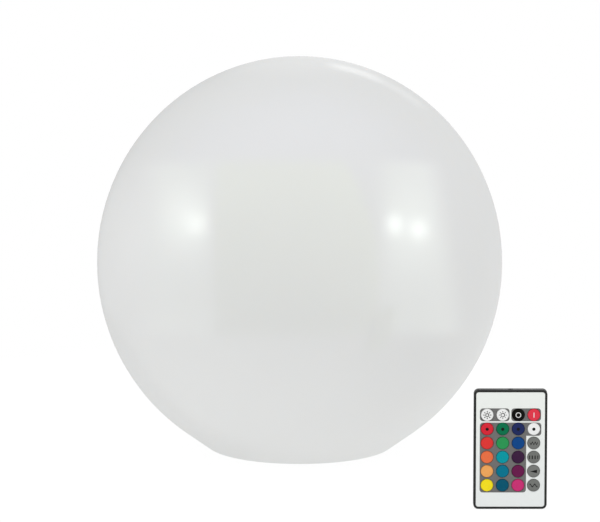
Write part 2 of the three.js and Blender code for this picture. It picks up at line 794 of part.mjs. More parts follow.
function remoteCase() {
  const [w, h] = [remoteWidth / 2, remoteHeight];
  const outer = upright(roundedRectangle(-w, 0, w, h, remoteCorner), caseFront, caseBack);
  const inside = (inset, front, back) => {
    const shape = roundedRectangle(-w + inset, inset, w - inset, h - inset, remoteCorner - inset);
    return upright(shape, front, back);
  };
  const ledge = remoteRim + remoteLedge;
  const frontRoom = inside(remoteRim, caseFront - through, faceBack);
  const backRoom = inside(ledge, faceBack - through, caseBack - remoteBack);
  const slot = trayHalfWidth + seatGap;
  const traySlot = block(-slot, coinFront - seatGap, -through, slot, caseBack + through, trayTop + seatGap);
  const emitterHole = bar(emitterRadius + seatGap, h - ledge - through, h + through, 0, emitterY, 12);
  return joined(cut(outer, frontRoom, backRoom, traySlot, emitterHole), ...boardPosts());
}

// Four posts on the back wall hold the board against the dome sheet.
function boardPosts() {
  const half = remotePostSize / 2;
  const x = remoteBoardHalfWidth - remotePostInset - half;
  const back = caseBack - remoteBack + weldOverlap;
  return [trayTop + remotePostInset + half, remoteBoardTop - remotePostInset - half].flatMap((z) =>
    [-x, x].map((middle) => block(middle - half, boardBack, z - half, middle + half, back, z + half)),
  );
}

// The middle of each key, row by row from the top left.
const keyPlaces = keys.map(([name, color], i) => {
  const column = i % keyColumns;
  const row = Math.floor(i / keyColumns);
  const x = (column - (keyColumns - 1) / 2) * keyPitchX;
  return { name, color, x, z: topRowZ - row * keyPitchZ };
});

function remoteFace() {
  const w = remoteWidth / 2 - remoteRim - seatGap;
  const low = remoteRim + seatGap;
  const shape = roundedRectangle(-w, low, w, remoteHeight - low, remoteCorner - remoteRim - seatGap);
  for (const { x, z } of keyPlaces)
    shape.holes.push(new THREE.Path().absarc(x, z, keyRadius + seatGap, 0, 2 * Math.PI, true));
  return upright(shape, faceFront, faceBack, keySides / 2);
}

// A domed key, turned about its own axis, which runs from front to back.
function keyCap() {
  const side = faceFront - keyWall;
  const lip = keyRadius + keyLip;
  const profile = [
    [0, side - keyCrown], [keyShoulder, side - keyShoulderRise], [keyRadius, side],
    [keyRadius, keyBack - keyLipThickness], [lip, keyBack - keyLipThickness], [lip, keyBack], [0, keyBack],
  ];
  const loop = profile.map(([r, y]) => new THREE.Vector2(r, y));
  loop.push(loop[0].clone());
  return solid(new THREE.LatheGeometry(loop, keySides));
}

function domeSheet() {
  const w = remoteBoardHalfWidth;
  const low = keyBottom - domeSheetEdge;
  const high = remoteHeight - keyTop + domeSheetEdge;
  return upright(roundedRectangle(-w, low, w, high, remoteBoardCorner), sheetFront, boardFront);
}

// What stands on the back of the remote's board: each part's middle, then its width, height and thickness.
const remoteChips = [
  { x: -3, z: trayTop + 15, width: 10, height: 6, thickness: 1.4 }, // encoder
  { x: 8, z: trayTop + 16, width: 3, height: 7, thickness: 1 }, // resonator
  { x: 13, z: trayTop + 26, width: 3, height: 3, thickness: 0.9 }, // transistor
];

function remoteBoard() {
  const w = remoteBoardHalfWidth;
  const low = remoteRim + remoteLedge + seatGap;
  const outline = roundedRectangle(-w, low, w, remoteBoardTop, remoteBoardCorner);
  const board = upright(outline, boardFront, boardBack);
  const chips = remoteChips.map(({ x, z, width, height, thickness }) => {
    const [dx, dz] = [width / 2, height / 2];
    return block(x - dx, boardBack - weldOverlap, z - dz, x + dx, boardBack + thickness, z + dz);
  });
  return joined(board, ...chips);
}

function infraredEmitter() {
  const low = remoteBoardTop + seatGap;
  const noseZ = low + emitterLength - emitterRadius;
  const nose = new THREE.SphereGeometry(emitterRadius, 12, 6).rotateX(Math.PI / 2);
  return joined(bar(emitterRadius, low, noseZ, 0, emitterY, 12), solid(nose.translate(0, emitterY, noseZ)));
}

function batteryTray() {
  const w = trayHalfWidth;
  const rail = w - trayWall;
  const low = trayRecess;
  const grooves = Array.from({ length: trayGrooves }, (_, i) => {
    const z = low + trayEnd / 2 + 2 * i * trayGrooveWidth;
    const half = trayGrooveLength / 2;
    return block(-half, caseBack - trayGrooveDepth, z, half, caseBack + through, z + trayGrooveWidth);
  });
  const body = joined(
    block(-w, coinBack, low, w, caseBack, trayTop),
    block(-w, coinFront, low, w, caseBack, low + trayEnd),
    block(-w, coinFront, low, -rail, caseBack, trayTop),
    block(rail, coinFront, low, w, caseBack, trayTop),
  );
  return cut(body, ...grooves);
}

function coinCell() {
  const front = coinFront + coinRelief;
  const step = front + coinStepHeight;
  const inner = coinRadius - coinStep;
  const profile = [
    [0, front], [inner, front], [inner, step], [coinRadius, step], [coinRadius, coinBack], [0, coinBack],
  ];
  const loop = profile.map(([r, y]) => new THREE.Vector2(r, y));
  loop.push(loop[0].clone());
  return solid(new THREE.LatheGeometry(loop, 28).translate(0, 0, coinZ));
}

// A strip behind the coin cell's negative face.
function negativeContact() {
  const half = contactWidth / 2;
  return block(-half, boardBack, coinZ - contactBottom, half, contactBack, coinZ + contactTop);
}

// A bent blade that the coin cell's rim comes up against.
function positiveContact() {
  const half = bladeWidth / 2;
  const low = trayTop + seatGap / 2;
  return joined(
    block(-half, boardBack, low, half, contactBack, low + bladeFoot),
    block(-half, boardBack, low, half, coinBack - 2 * seatGap, low + contactThickness),
  );
}

// ------------------------------------------------------------------------------------------ assembly

function piece(name, made, material) {
  const mesh = new THREE.Mesh(geometryOf(made), material);
  mesh.name = name;
  return mesh;
}

function buildBall() {
  const ball = new THREE.Group();
  ball.add(
    piece("globe_shell", globeShell(), milkyPlastic),
    piece("neck_collar", neckCollar(), whitePlastic),
    piece("collar_gasket", collarGasket(), greySilicone),
  );
  around(collarScrews, screwCircle, rad(45)).forEach(([, x, y], i) => {
    const made = screw(collarScrewLength, x, y, collarRecess);
    ball.add(piece(`collar_screw_${i + 1}`, made, steel));
  });
  return ball;
}

function buildCapsule() {
  const capsule = new THREE.Group();
  capsule.add(
    piece("capsule_base", capsuleBase(), whitePlastic),
    piece("capsule_cup", capsuleCup(), whitePlastic),
    piece("seal_ring", sealRing(), greySilicone),
    piece("locking_ring", lockingRing(), whitePlastic),
    piece("light_diffuser", lightDiffuser(), frostedPlastic),
    piece("light_board", lightBoard(), whiteBoard),
    piece("infrared_receiver", infraredReceiver(), blackPlastic),
    piece("control_board", controlBoard(), greenBoard),
    piece("battery_holder", batteryHolder(), blackPlastic),
    piece("battery_cell", batteryCell(), blueWrap),
    piece("light_cable", lightCable(), blackPlastic),
    piece("battery_cable", batteryCable(), redCable),
    piece("switch_body", switchBody(), blackPlastic),
    piece("power_button", powerButton(), greySilicone),
    piece("charge_socket", chargeSocket(), blackPlastic),
    piece("charge_plug", chargePlug(), whiteSilicone),
    piece("status_light_pipe", statusLightPipe(), frostedPlastic),
  );
  pillars.forEach(([, x, y], i) => {
    const made = screw(capsuleScrewLength, x, y, faceRecess + seatGap);
    capsule.add(piece(`capsule_screw_${i + 1}`, made, steel));
  });
  return capsule;
}

function buildRemote() {
  const remote = new THREE.Group();
  remote.add(
    piece("remote_case", remoteCase(), blackPlastic),
    piece("remote_face", remoteFace(), facePlastic),
    piece("remote_dome_sheet", domeSheet(), polyester),
    piece("remote_board", remoteBoard(), greenBoard),
    piece("infrared_emitter", infraredEmitter(), frostedPlastic),
    piece("battery_tray", batteryTray(), blackPlastic),
    piece("coin_cell", coinCell(), cellCan),
    piece("negative_contact", negativeContact(), steel),
    piece("positive_contact", positiveContact(), steel),
  );
  for (const { name, color, x, z } of keyPlaces) {
    const key = piece(`key_${name}`, keyCap(), finish(color, 0.35));
    key.position.set(x, 0, z);
    remote.add(key);
  }
  remote.position.set(remoteX, remoteY, 0);
  return remote;
}

const floatingLight = new THREE.Group();
floatingLight.add(buildBall(), buildCapsule(), buildRemote());

export default floatingLight;
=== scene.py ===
# %% [markdown]
# # A floating pool light
# A hollow white ball stands on its flat foot. A sealed light capsule sits in the neck under it, held by a
# screw ring, and a card remote control with 24 round keys stands in front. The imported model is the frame:
# it fixes every size and every movement. This lesson puts a finely made piece over each part that shows.

# %% Load the frame
import json
import math

import bmesh
import bpy
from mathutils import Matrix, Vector

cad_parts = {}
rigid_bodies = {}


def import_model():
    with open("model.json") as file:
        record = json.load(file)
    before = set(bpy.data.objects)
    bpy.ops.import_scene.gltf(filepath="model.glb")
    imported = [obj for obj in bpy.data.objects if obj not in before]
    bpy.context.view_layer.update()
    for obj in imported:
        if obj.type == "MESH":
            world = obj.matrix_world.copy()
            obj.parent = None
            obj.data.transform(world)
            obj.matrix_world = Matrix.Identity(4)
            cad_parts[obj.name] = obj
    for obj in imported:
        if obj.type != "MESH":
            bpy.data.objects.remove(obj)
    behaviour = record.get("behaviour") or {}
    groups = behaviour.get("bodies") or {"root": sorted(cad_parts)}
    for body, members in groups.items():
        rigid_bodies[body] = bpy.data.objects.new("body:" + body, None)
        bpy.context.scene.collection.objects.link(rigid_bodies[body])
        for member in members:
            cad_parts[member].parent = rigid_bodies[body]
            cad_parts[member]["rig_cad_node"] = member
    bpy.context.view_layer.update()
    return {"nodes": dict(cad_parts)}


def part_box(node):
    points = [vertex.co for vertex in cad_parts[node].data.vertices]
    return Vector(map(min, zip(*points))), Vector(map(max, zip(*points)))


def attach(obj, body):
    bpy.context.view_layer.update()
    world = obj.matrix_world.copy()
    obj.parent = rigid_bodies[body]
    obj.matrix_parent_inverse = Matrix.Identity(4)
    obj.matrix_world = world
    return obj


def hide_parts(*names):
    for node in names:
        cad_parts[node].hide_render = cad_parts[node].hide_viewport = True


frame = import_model()

# %% [markdown]
# ## The camera
# The light is seen from the front and a little above, with a long lens from over four metres away, so the
# ball's outline stays round and the remote's sides stay upright. The camera is aimed a hair beside the
# ball's middle, and the long lens frames the ball and the remote together.

# %% Set up the camera
BALL_STRETCH = 1.017  # height over width, before the foot is cut
ball_low, ball_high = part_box("globe_shell")
ball_radius = (ball_high.x - ball_low.x) / 2
ball_centre = ball_high.z - ball_radius * BALL_STRETCH
CAMERA_RISE = math.radians(10.2)
CAMERA_DISTANCE = 4.3
camera_back = Vector((0, -math.cos(CAMERA_RISE), math.sin(CAMERA_RISE)))
camera_aim = Vector((0.00027, 0, ball_centre + 0.00082))

bpy.ops.object.select_all(action="DESELECT")
bpy.ops.object.camera_add(location=camera_aim + CAMERA_DISTANCE * camera_back)
camera = bpy.context.object
camera.name = "Camera"
camera.rotation_euler = camera_back.to_track_quat("Z", "Y").to_euler()
camera.data.sensor_width = 36
camera.data.lens = 348.3
camera.data.clip_end = 40
bpy.context.scene.camera = camera
print(f"ball radius {ball_radius * 1000:.1f} mm, middle {ball_centre * 1000:.1f} mm above the floor")

# %% [markdown]
# ## Hand tools
# The same few moves make most pieces, so each one is a short function. A piece starts as a primitive with
# nothing else selected, is shaped in edit mode, and goes back to object mode with its place in its mesh.
# Sizes are written in millimetres, as on a workshop drawing, and turned into metres here.

# %% Start and leave edit mode
MM = 0.001
NEAR = 2e-6  # vertices nearer than this become one


def start(primitive, name, scale=(1, 1, 1), **settings):
    """Adds a primitive and leaves it in edit mode with all of it selected."""
    bpy.ops.object.select_all(action="DESELECT")
    getattr(bpy.ops.mesh, f"primitive_{primitive}_add")(**settings)
    piece = bpy.context.object
    piece.name = piece.data.name = name
    piece.scale = scale
    bpy.ops.object.transform_apply(location=True, rotation=True, scale=True)
    bpy.ops.object.mode_set(mode="EDIT")
    bpy.ops.mesh.select_mode(type="VERT")
    bpy.ops.mesh.select_all(action="SELECT")
    return piece


def choose(kind, test):
    """Selects the vertices or edges of the piece in edit mode that pass a test."""
    bpy.ops.mesh.select_mode(type=kind)
    bpy.ops.mesh.select_all(action="DESELECT")
    mesh = bmesh.from_edit_mesh(bpy.context.object.data)
    for item in {"VERT": mesh.verts, "EDGE": mesh.edges}[kind]:
        if test(item):
            item.select_set(True)
    mesh.select_flush_mode()
    bmesh.update_edit_mesh(bpy.context.object.data)


def only(piece):
    """Goes to object mode with one piece selected and active."""
    if bpy.context.object and bpy.context.object.mode == "EDIT":
        bpy.ops.object.mode_set(mode="OBJECT")
    bpy.ops.object.select_all(action="DESELECT")
    bpy.context.view_layer.objects.active = piece
    piece.select_set(True)


def close_up():
    """Welds the vertices that meet and turns every face outwards."""
    bpy.ops.mesh.select_all(action="SELECT")
    bpy.ops.mesh.remove_doubles(threshold=NEAR)
    bpy.ops.mesh.normals_make_consistent(inside=False)


# %% Turn an outline on a lathe
def turn_on_lathe(name, outline, sides, along="Z", at=(0, 0, 0)):
    """Spins an outline of (radius, place along the axis) points into a closed piece."""
    def point(radius, place):
        return Vector((radius, 0, place) if along == "Z" else (radius, place, 0)) * MM

    piece = start("plane", name, size=0.0001, location=point(*outline[0]))
    bpy.ops.mesh.merge(type="CENTER")
    for here, there in zip(outline, outline[1:]):
        step = point(*there) - point(*here)
        bpy.ops.mesh.extrude_vertices_move(TRANSFORM_OT_translate={"value": step})
    bpy.ops.mesh.select_all(action="SELECT")
    axis = (0, 0, 1) if along == "Z" else (0, 1, 0)
    bpy.ops.mesh.spin(steps=sides, angle=2 * math.pi, center=(0, 0, 0), axis=axis)
    close_up()
    bpy.ops.transform.translate(value=Vector(at) * MM)
    only(piece)
    return piece


def arc(centre, radius, first, last, steps):
    """Points of an outline that follow a circle from one angle to another, in degrees."""
    angles = [math.radians(first + (last - first) * i / steps) for i in range(steps + 1)]
    return [(centre[0] + radius * math.cos(a), centre[1] + radius * math.sin(a)) for a in angles]


# %% Make a block with rounded corners
def block(name, low, high, corner=0, along=1, segments=8):
    """A block from one corner to the other, with the four edges along one axis rounded."""
    low, high = Vector(low) * MM, Vector(high) * MM
    piece = start("cube", name, size=1, location=(low + high) / 2, scale=high - low)
    if corner:
        def runs_along(edge):
            way = edge.verts[1].co - edge.verts[0].co
            return abs(way.normalized()[along]) > 0.9

        choose("EDGE", runs_along)
        bpy.ops.mesh.bevel(offset=corner * MM, segments=segments, affect="EDGES")
    only(piece)
    return piece


# %% Apply a modifier, cut, weld, copy and smooth
def apply(piece, kind, **settings):
    """Adds a modifier to a piece and applies it."""
    only(piece)
    modifier = piece.modifiers.new(kind.title(), kind)
    for key, value in settings.items():
        setattr(modifier, key, value)
    bpy.ops.object.modifier_apply(modifier=modifier.name)


def round_edges(piece, width, segments=3):
    apply(piece, "BEVEL", width=width * MM, segments=segments, limit_method="ANGLE",
          angle_limit=math.radians(35))


def combine(piece, operation, tools):
    """Does a boolean with a piece and its tools, and clears the tools away."""
    only(tools[0])
    for tool in tools[1:]:
        tool.select_set(True)
    if len(tools) > 1:
        bpy.ops.object.join()
    apply(piece, "BOOLEAN", operation=operation, object=tools[0], solver="EXACT")
    bpy.data.objects.remove(tools[0])
    bpy.ops.object.mode_set(mode="EDIT")
    bpy.ops.mesh.select_all(action="SELECT")
    bpy.ops.mesh.remove_doubles(threshold=NEAR)
    bpy.ops.mesh.dissolve_degenerate(threshold=NEAR)
    bpy.ops.mesh.delete_loose(use_verts=True, use_edges=True)
    only(piece)


def cut(piece, *tools):
    combine(piece, "DIFFERENCE", tools)


def weld(piece, *tools):
    combine(piece, "UNION", tools)


def copy_of(piece, name, shift=(0, 0, 0), turn=0):
    """A copy with its own mesh, moved and then turned about the ball's axis."""
    only(piece)
    bpy.ops.object.duplicate(linked=False)
    twin = bpy.context.object
    twin.name = twin.data.name = name
    twin.location = Vector(shift) * MM
    bpy.ops.object.transform_apply(location=True, rotation=False, scale=False)
    twin.rotation_euler.z = math.radians(turn)
    bpy.ops.object.transform_apply(location=False, rotation=True, scale=False)
    return twin


def copies_round(piece, turns):
    """Copies that stand round the ball's axis, at angles in degrees."""
    return [copy_of(piece, f"{piece.name}_{a}", turn=a) for a in turns]


def clear_away(*pieces):
    """Removes pieces that were only made to be copied."""
    for piece in pieces:
        bpy.data.objects.remove(piece)


def smooth(piece, angle=35):
    """Smooth shading, with normals weighted so that flat faces stay flat."""
    only(piece)
    bpy.ops.object.shade_smooth_by_angle(angle=math.radians(angle))
    apply(piece, "WEIGHTED_NORMAL", keep_sharp=True)


# %% Seat a piece on its body
def seat(piece, body, node, angle=35):
    """Smooths a piece (angle 0: it is smooth already), puts it on its body and measures it."""
    if angle:
        smooth(piece, angle)
    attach(piece, body)
    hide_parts(node)
    off = max(abs(end(v.co[i] for v in piece.data.vertices) - side[i])
              for end, side in zip((min, max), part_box(node)) for i in range(3))
    print(f"{piece.name}: {len(piece.data.polygons)} faces, box within {off / MM:.2f} mm of the CAD's")


# %% [markdown]
# ## The ball
# The real ball is blow-moulded from milky polyethylene: one skin about 3 mm thick that runs down a short
# straight flare to a flat foot, round its edge, and up again as the neck that takes the light. A UV sphere
# gives the even skin. Its cap is cut away and the rim is extruded ring by ring, as the mould's lower half
# shapes it, and one Solidify gives the whole skin its wall.

# %% Cut the sphere where the flare starts
FLARE_START = 14.67  # height above the floor
ball = start("uv_sphere", "ball_skin", segments=96, ring_count=64, radius=ball_radius,
             location=(0, 0, ball_centre))
bpy.ops.transform.resize(value=(1, 1, BALL_STRETCH), center_override=(0, 0, ball_centre))
bpy.ops.mesh.bisect(plane_co=(0, 0, FLARE_START * MM), plane_no=(0, 0, 1), clear_inner=True)
choose("EDGE", lambda edge: edge.is_boundary)
rim = [v.co for v in bmesh.from_edit_mesh(ball.data).verts if v.select]
rim_radius, rim_height = max(v.x for v in rim) / MM, rim[0].z / MM
print(f"rim at radius {rim_radius:.2f} mm, height {rim_height:.2f} mm")


# %% Draw the rim down the flare, round the foot and up the neck
def grow_rim(path, radius, height):
    """Extrudes the selected rim along a path of (radius, height) points."""
    for next_radius, next_height in path:
        rise = (0, 0, (next_height - height) * MM)
        bpy.ops.mesh.extrude_region_move(TRANSFORM_OT_translate={"value": rise})
        share = next_radius / radius
        bpy.ops.transform.resize(value=(share, share, 1), center_override=(0, 0, 0))
        radius, height = next_radius, next_height


foot_edge = arc((64.4, 8), 8, -54, -90, 5)
flare = [(78.15, 8.1), *foot_edge]
recess = [*arc((59.2, 0.5), 0.5, -90, -180, 3), (58.7, 4.4), (51.2, 4.4), (51.2, 18.9)]
grow_rim(flare + recess, rim_radius, rim_height)
close_up()
apply(ball, "SOLIDIFY", thickness=3 * MM, offset=-1, use_even_offset=True)
print(f"{ball.name}: {len(ball.data.polygons)} faces, with its wall")

# %% [markdown]
# Four screws hold the collar in the neck. Inside the skin, each one has a blind boss. One boss and one
# countersunk hole are made, and their copies stand round the neck's axis at 90 degrees.

# %% Add the screw bosses
SCREW_CIRCLE = 54.55
SCREW_TURNS = (45, 135, 225, 315)


def screw_hole(name, length, at):
    """The space that a countersunk screw needs: a cone for its head, then a straight bore."""
    return turn_on_lathe(name, [(0, -1), (3.1, -1), (3.1, 0), (1.6, 1.6), (1.6, length + 0.5),
                                (0, length + 0.5)], sides=32, at=at)


boss = turn_on_lathe("boss", [(0, 6.9), (4, 6.9), (4, 15.4), (3.6, 15.8), (0, 15.8)],
                     sides=32, at=(SCREW_CIRCLE, 0, 0))
hole = screw_hole("hole", 13, (SCREW_CIRCLE, 0, 0.8))
weld(ball, *copies_round(boss, SCREW_TURNS))
cut(ball, *copies_round(hole, SCREW_TURNS))
clear_away(boss)
seat(ball, "ball", "globe_shell")

# %% [markdown]
# ## The collar and its ribs
# The collar is a turned white ring with a flange. Three ribs climb its bore like the starts of a coarse
# screw, 30 mm to a turn. The Screw modifier is made for this: it carries a small rectangle round the axis
# while it rises. The same function makes the lugs of the locking ring, which run on these ribs.


# %% Make one start of the coarse thread
LEAD = 30  # mm that the thread climbs in a turn
STARTS = (0, 120, 240)


def thread(name, inner, outer, low, width, first, sweep):
    """A square rib that climbs as it goes round, with angles in degrees."""
    piece = start("plane", name, size=1, location=Vector(((inner + outer) / 2, 0, low + width / 2)) * MM,
                  rotation=(math.pi / 2, 0, 0), scale=((outer - inner) * MM, width * MM, 1))
    bpy.ops.mesh.delete(type="ONLY_FACE")
    steps = math.ceil(sweep / 5)
    apply(piece, "SCREW", angle=math.radians(sweep), screw_offset=LEAD * MM * sweep / 360,
          steps=steps, render_steps=steps, use_merge_vertices=False)
    bpy.ops.object.mode_set(mode="EDIT")
    bpy.ops.mesh.select_all(action="SELECT")
    bpy.ops.mesh.fill_holes(sides=4)
    bpy.ops.mesh.normals_make_consistent(inside=False)
    only(piece)
    piece.rotation_euler.z = math.radians(first)
    bpy.ops.object.transform_apply(location=False, rotation=True, scale=False)
    round_edges(piece, 0.3, segments=2)
    return piece


# %% Turn the collar
collar = turn_on_lathe("neck_flange", [
    (47.9, 0.8), (58.2, 0.8), (58.2, 3.4), (50.9, 3.4), (50.9, 16.9), (39.2, 16.9), (39.2, 13.9),
    (47.9, 13.9), (47.9, 0.8)], sides=128)
round_edges(collar, 0.35)
cut(collar, *copies_round(hole, SCREW_TURNS))
rib = thread("rib", 45.9, 48.4, 1.0, 2.6, 3.6, 115)
weld(collar, *copies_round(rib, STARTS))
clear_away(hole, rib)
seat(collar, "ball", "neck_collar")

# %% [markdown]
# ## The locking ring
# The ring turns under the light capsule and draws it up against its seal. It is a turned band with three
# lugs of the coarse thread outside and twelve grip ribs on its lower face for the fingers.

# %% Turn the ring, then weld its lugs and grips on
ring = turn_on_lathe("lock_band", [(39.4, 3.0), (45.4, 3.0), (45.4, 9.7), (39.4, 9.7), (39.4, 3.0)],
                     sides=120)
round_edges(ring, 0.4)
lug = thread("lug", 44.9, 47.4, 3.6, 2.6, 0, 36)
weld(ring, *copies_round(lug, STARTS))
grip = block("grip", (40.0, -1, 1.2), (44.8, 1, 3.6))
round_edges(grip, 0.45)
weld(ring, *copies_round(grip, range(0, 360, 30)))
clear_away(lug, grip)
seat(ring, "screw_ring", "locking_ring")

# %% [markdown]
# ## The light capsule
# The capsule is the sealed part with the battery and the lights. Its face carries the power button, the
# charging plug and a status light. The base is turned, then the pockets are cut. Each cutter has a small
# flare at its mouth, so the moulded edge comes out rounded, as a Bevel on a face with many holes would not.


# %% Cutters with a rounded mouth
def pocket(name, radius, mouth, depth, x, y=0, lip=0.35):
    """A round cutter that opens downwards at height mouth and ends at height depth."""
    rounding = arc((radius + lip, mouth + lip), lip, -90, -180, 3)
    return turn_on_lathe(name, [(0, mouth - 1), (radius + lip, mouth - 1), *rounding,
                                (radius, depth), (0, depth)], sides=48, at=(x, y, 0))


# %% Turn the base and cut its ports
SWITCH_X, SOCKET_X = -17, 17
base = turn_on_lathe("capsule_face", [
    (0, 1), (38.9, 1), (38.9, 10), (44.8, 10), (44.8, 13.2), (43.6, 13.2), (43.6, 11), (40.4, 11),
    (40.4, 13.2), (35.4, 13.2), (35.4, 18), (33.4, 18), (33.4, 6), (0, 6)], sides=128)
round_edges(base, 0.35)
tab_slot = block("tab_slot", (SOCKET_X, -2.8, 0), (27.4, 2.8, 3), corner=1, along=2)
cut(base, tab_slot)
cut(base, pocket("switch_pocket", 7, 1, 4.1, SWITCH_X), pocket("plug_pocket", 7, 1, 3, SOCKET_X),
    pocket("status_hole", 1.8, 1, 7, 0, 14, lip=0.2))
cut(base, pocket("switch_bore", 4.9, 4.1, 7, SWITCH_X, lip=0.2),
    pocket("socket_bore", 4.8, 3, 7, SOCKET_X, lip=0.2))
PILLARS = [(32.8 * math.cos(math.radians(a)), 32.8 * math.sin(math.radians(a))) for a in (90, 210, 330)]
cut(base, *[screw_hole(f"bore_{i}", 22, (x, y, 1.3)) for i, (x, y) in enumerate(PILLARS)])
seat(base, "light_capsule", "capsule_base")

# %% Turn the can round the battery
can = turn_on_lathe("capsule_can", [
    (35.7, 13.2), (37.7, 13.2), (37.7, 50.3), (8, 50.3), (8, 47.3), (35.7, 47.3), (35.7, 13.2)], sides=128)
round_edges(can, 0.3)
seat(can, "light_capsule", "capsule_cup")


# %% Turn the frosted dome over the lights
def dome_arc(radius, rise, angles):
    """Points of a flattened dome's outline, at angles up from its rim in degrees."""
    return [(radius * math.cos(math.radians(a)), 54.3 + rise * math.sin(math.radians(a))) for a in angles]


dome = turn_on_lathe("frosted_dome", [
    (0, 76.3), *dome_arc(37.7, 22, range(84, -1, -6)), (37.7, 50.6), (37.4, 50.3), (35.7, 50.3),
    *dome_arc(35.7, 20, range(0, 90, 6)), (0, 74.3)], sides=128)
seat(dome, "light_capsule", "light_diffuser")

# %% [markdown]
# The seal is a rubber ring of round cord in a groove of the flange. A torus is its shape already, so it
# only needs the ring's line of flash that the mould leaves round the middle, made by scaling one loop.

# %% Make the seal with its flash line
SEAL_RADIUS, SEAL_HEIGHT = 42 * MM, 12.3 * MM
seal = start("torus", "flange_seal", major_radius=SEAL_RADIUS, minor_radius=1.3 * MM, major_segments=128,
             minor_segments=16, location=(0, 0, SEAL_HEIGHT))
choose("VERT", lambda v: abs(v.co.z - SEAL_HEIGHT) < 0.01 * MM and v.co.xy.length > SEAL_RADIUS)
bpy.ops.mesh.bevel(offset=0.12 * MM, segments=1, affect="EDGES")
bpy.ops.transform.resize(value=(1.003, 1.003, 1), center_override=(0, 0, SEAL_HEIGHT))
seat(seal, "light_capsule", "seal_ring", angle=60)

# %% [markdown]
# ## Screws
# The light's screws are stainless countersunk ones with a hexagon socket. A screw is turned with a
# rounded rim, its socket is cut with a six-sided tool, and copies of it are set in their holes. The
# capsule's screws are longer, and one function makes both lengths.


# %% Make one screw and set the rest
def make_screw(name, length):
    piece = turn_on_lathe(name, [
        (0, 0.05), (2.7, 0.05), (2.88, 0.12), (2.9, 0.25), (1.4, 1.7), (1.4, length - 1), (0.7, length),
        (0, length)], sides=40)
    tool = start("cylinder", "hex_key", vertices=6, radius=1.15 * MM, depth=2.4 * MM)
    only(tool)
    cut(piece, tool)
    smooth(piece)
    return piece


collar_screw, capsule_screw = make_screw("short_screw", 13), make_screw("long_screw", 22)
for i, angle in enumerate(SCREW_TURNS, 1):
    screw = copy_of(collar_screw, f"flange_screw_{i}", (SCREW_CIRCLE, 0, 0.8), angle)
    seat(screw, "ball", f"collar_screw_{i}", angle=0)
for i, (x, y) in enumerate(PILLARS, 1):
    screw = copy_of(capsule_screw, f"face_screw_{i}", (x, y, 1.3))
    seat(screw, "light_capsule", f"capsule_screw_{i}", angle=0)
clear_away(collar_screw, capsule_screw)

# %% [markdown]
# ## Button, plug and status light
# The power button is a soft moulded cap with the on-off sign raised on it. The silicone plug closes the
# charging socket and has a ridged tab to pull it by. Both are turned, and the sign is a low raised shape
# welded on, because a sign that a finger can feel is part of the moulding.

# %% Turn the button and raise its sign
button = turn_on_lathe("button_cap", [
    (0, 1.3), (5.2, 1.3), *arc((5.3, 2.0), 0.7, -90, 0, 4), (6, 2.8), (4.6, 2.8), (4.6, 6.3), (6.2, 6.3),
    (6.2, 7.5), (1.2, 7.5), (1.2, 11), (0, 11)], sides=64, at=(SWITCH_X, 0, 0))
bow = turn_on_lathe("bow", [(2.2, 1.18), (2.7, 1.18), (2.7, 1.5), (2.2, 1.5), (2.2, 1.18)], sides=48)
gap = block("gap", (-0.8, 0.5, 1), (0.8, 4, 2))
cut(bow, gap)
stroke = block("stroke", (-0.25, 1.1, 1.18), (0.25, 3.4, 1.5))
sign = [copy_of(part, f"{part.name}_sign", (SWITCH_X, 0, 0)) for part in (bow, stroke)]
weld(button, *sign)
clear_away(bow, stroke)
seat(button, "button", "power_button")

# %% Turn the plug and add its tab
plug = turn_on_lathe("charge_cap", [
    (0, 1.2), (6.3, 1.2), *arc((6.35, 1.55), 0.35, -90, 0, 3), (6.7, 2.7), (2.9, 2.7), (2.9, 5.4),
    (3.05, 5.7), (2.9, 6.0), (2.9, 9.3), (2.5, 9.7), (1.5, 9.7), (1.5, 2.9), (0, 2.7)],
    sides=64, at=(SOCKET_X, 0, 0))
tab = block("tab", (SOCKET_X + 4, -2.5, 1.1), (27.1, 2.5, 2.7), corner=1.2, along=2)
round_edges(tab, 0.25)
weld(plug, tab)
ridge = block("ridge", (24.2, -1.9, 1.0), (24.6, 1.9, 1.2))
grooves = [copy_of(ridge, f"ridge_{i}", (0.9 * i, 0, 0)) for i in range(3)]
cut(plug, *grooves)
clear_away(ridge)
seat(plug, "plug", "charge_plug")

# %% Turn the status light's window and the charging socket
window = turn_on_lathe("status_window", [(0, 1.3), (1.3, 1.3), (1.5, 1.5), (1.5, 17), (0, 17)],
                       sides=32, at=(0, 14, 0))
seat(window, "light_capsule", "status_light_pipe")
socket = turn_on_lathe("socket_barrel", [
    (3.4, 3.3), (4.3, 3.3), (4.5, 3.5), (4.5, 6.6), (4.5, 15.4), (0, 15.4), (0, 5.6), (0.5, 5.3),
    (0.9, 5.5), (1.1, 6.0), (1.1, 14.9), (3.2, 14.9), (3.2, 3.5), (3.4, 3.3)],
    sides=48, at=(SOCKET_X, 0, 0))
shell = block("shell", (SOCKET_X - 5, -5, 6.3), (SOCKET_X + 5, 5, 17), corner=0.5, along=2, segments=2)
core = turn_on_lathe("core", [(0, 5), (4, 5), (4, 15), (0, 15)], sides=48, at=(SOCKET_X, 0, 0))
cut(shell, core)
weld(socket, shell)
seat(socket, "light_capsule", "charge_socket")

# %% [markdown]
# ## The remote control
# The remote is a black card case, 6.5 mm deep, with a pale printed face sunk into its rim. It stands on
# its lower end with its keys to the front. Its drawing is written from the middle of its lower end, and
# the finished pieces are moved to where the frame has the case.

# %% Find the remote in the frame
case_low, case_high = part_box("remote_case")
REMOTE = Vector(((case_low.x + case_high.x) / 2, (case_low.y + case_high.y) / 2, case_low.z)) / MM
WIDE, DEEP, TALL = [side / MM for side in case_high - case_low]
print(f"remote {WIDE:.1f} x {DEEP:.1f} x {TALL:.1f} mm at x {REMOTE.x:.0f}, y {REMOTE.y:.0f} mm")


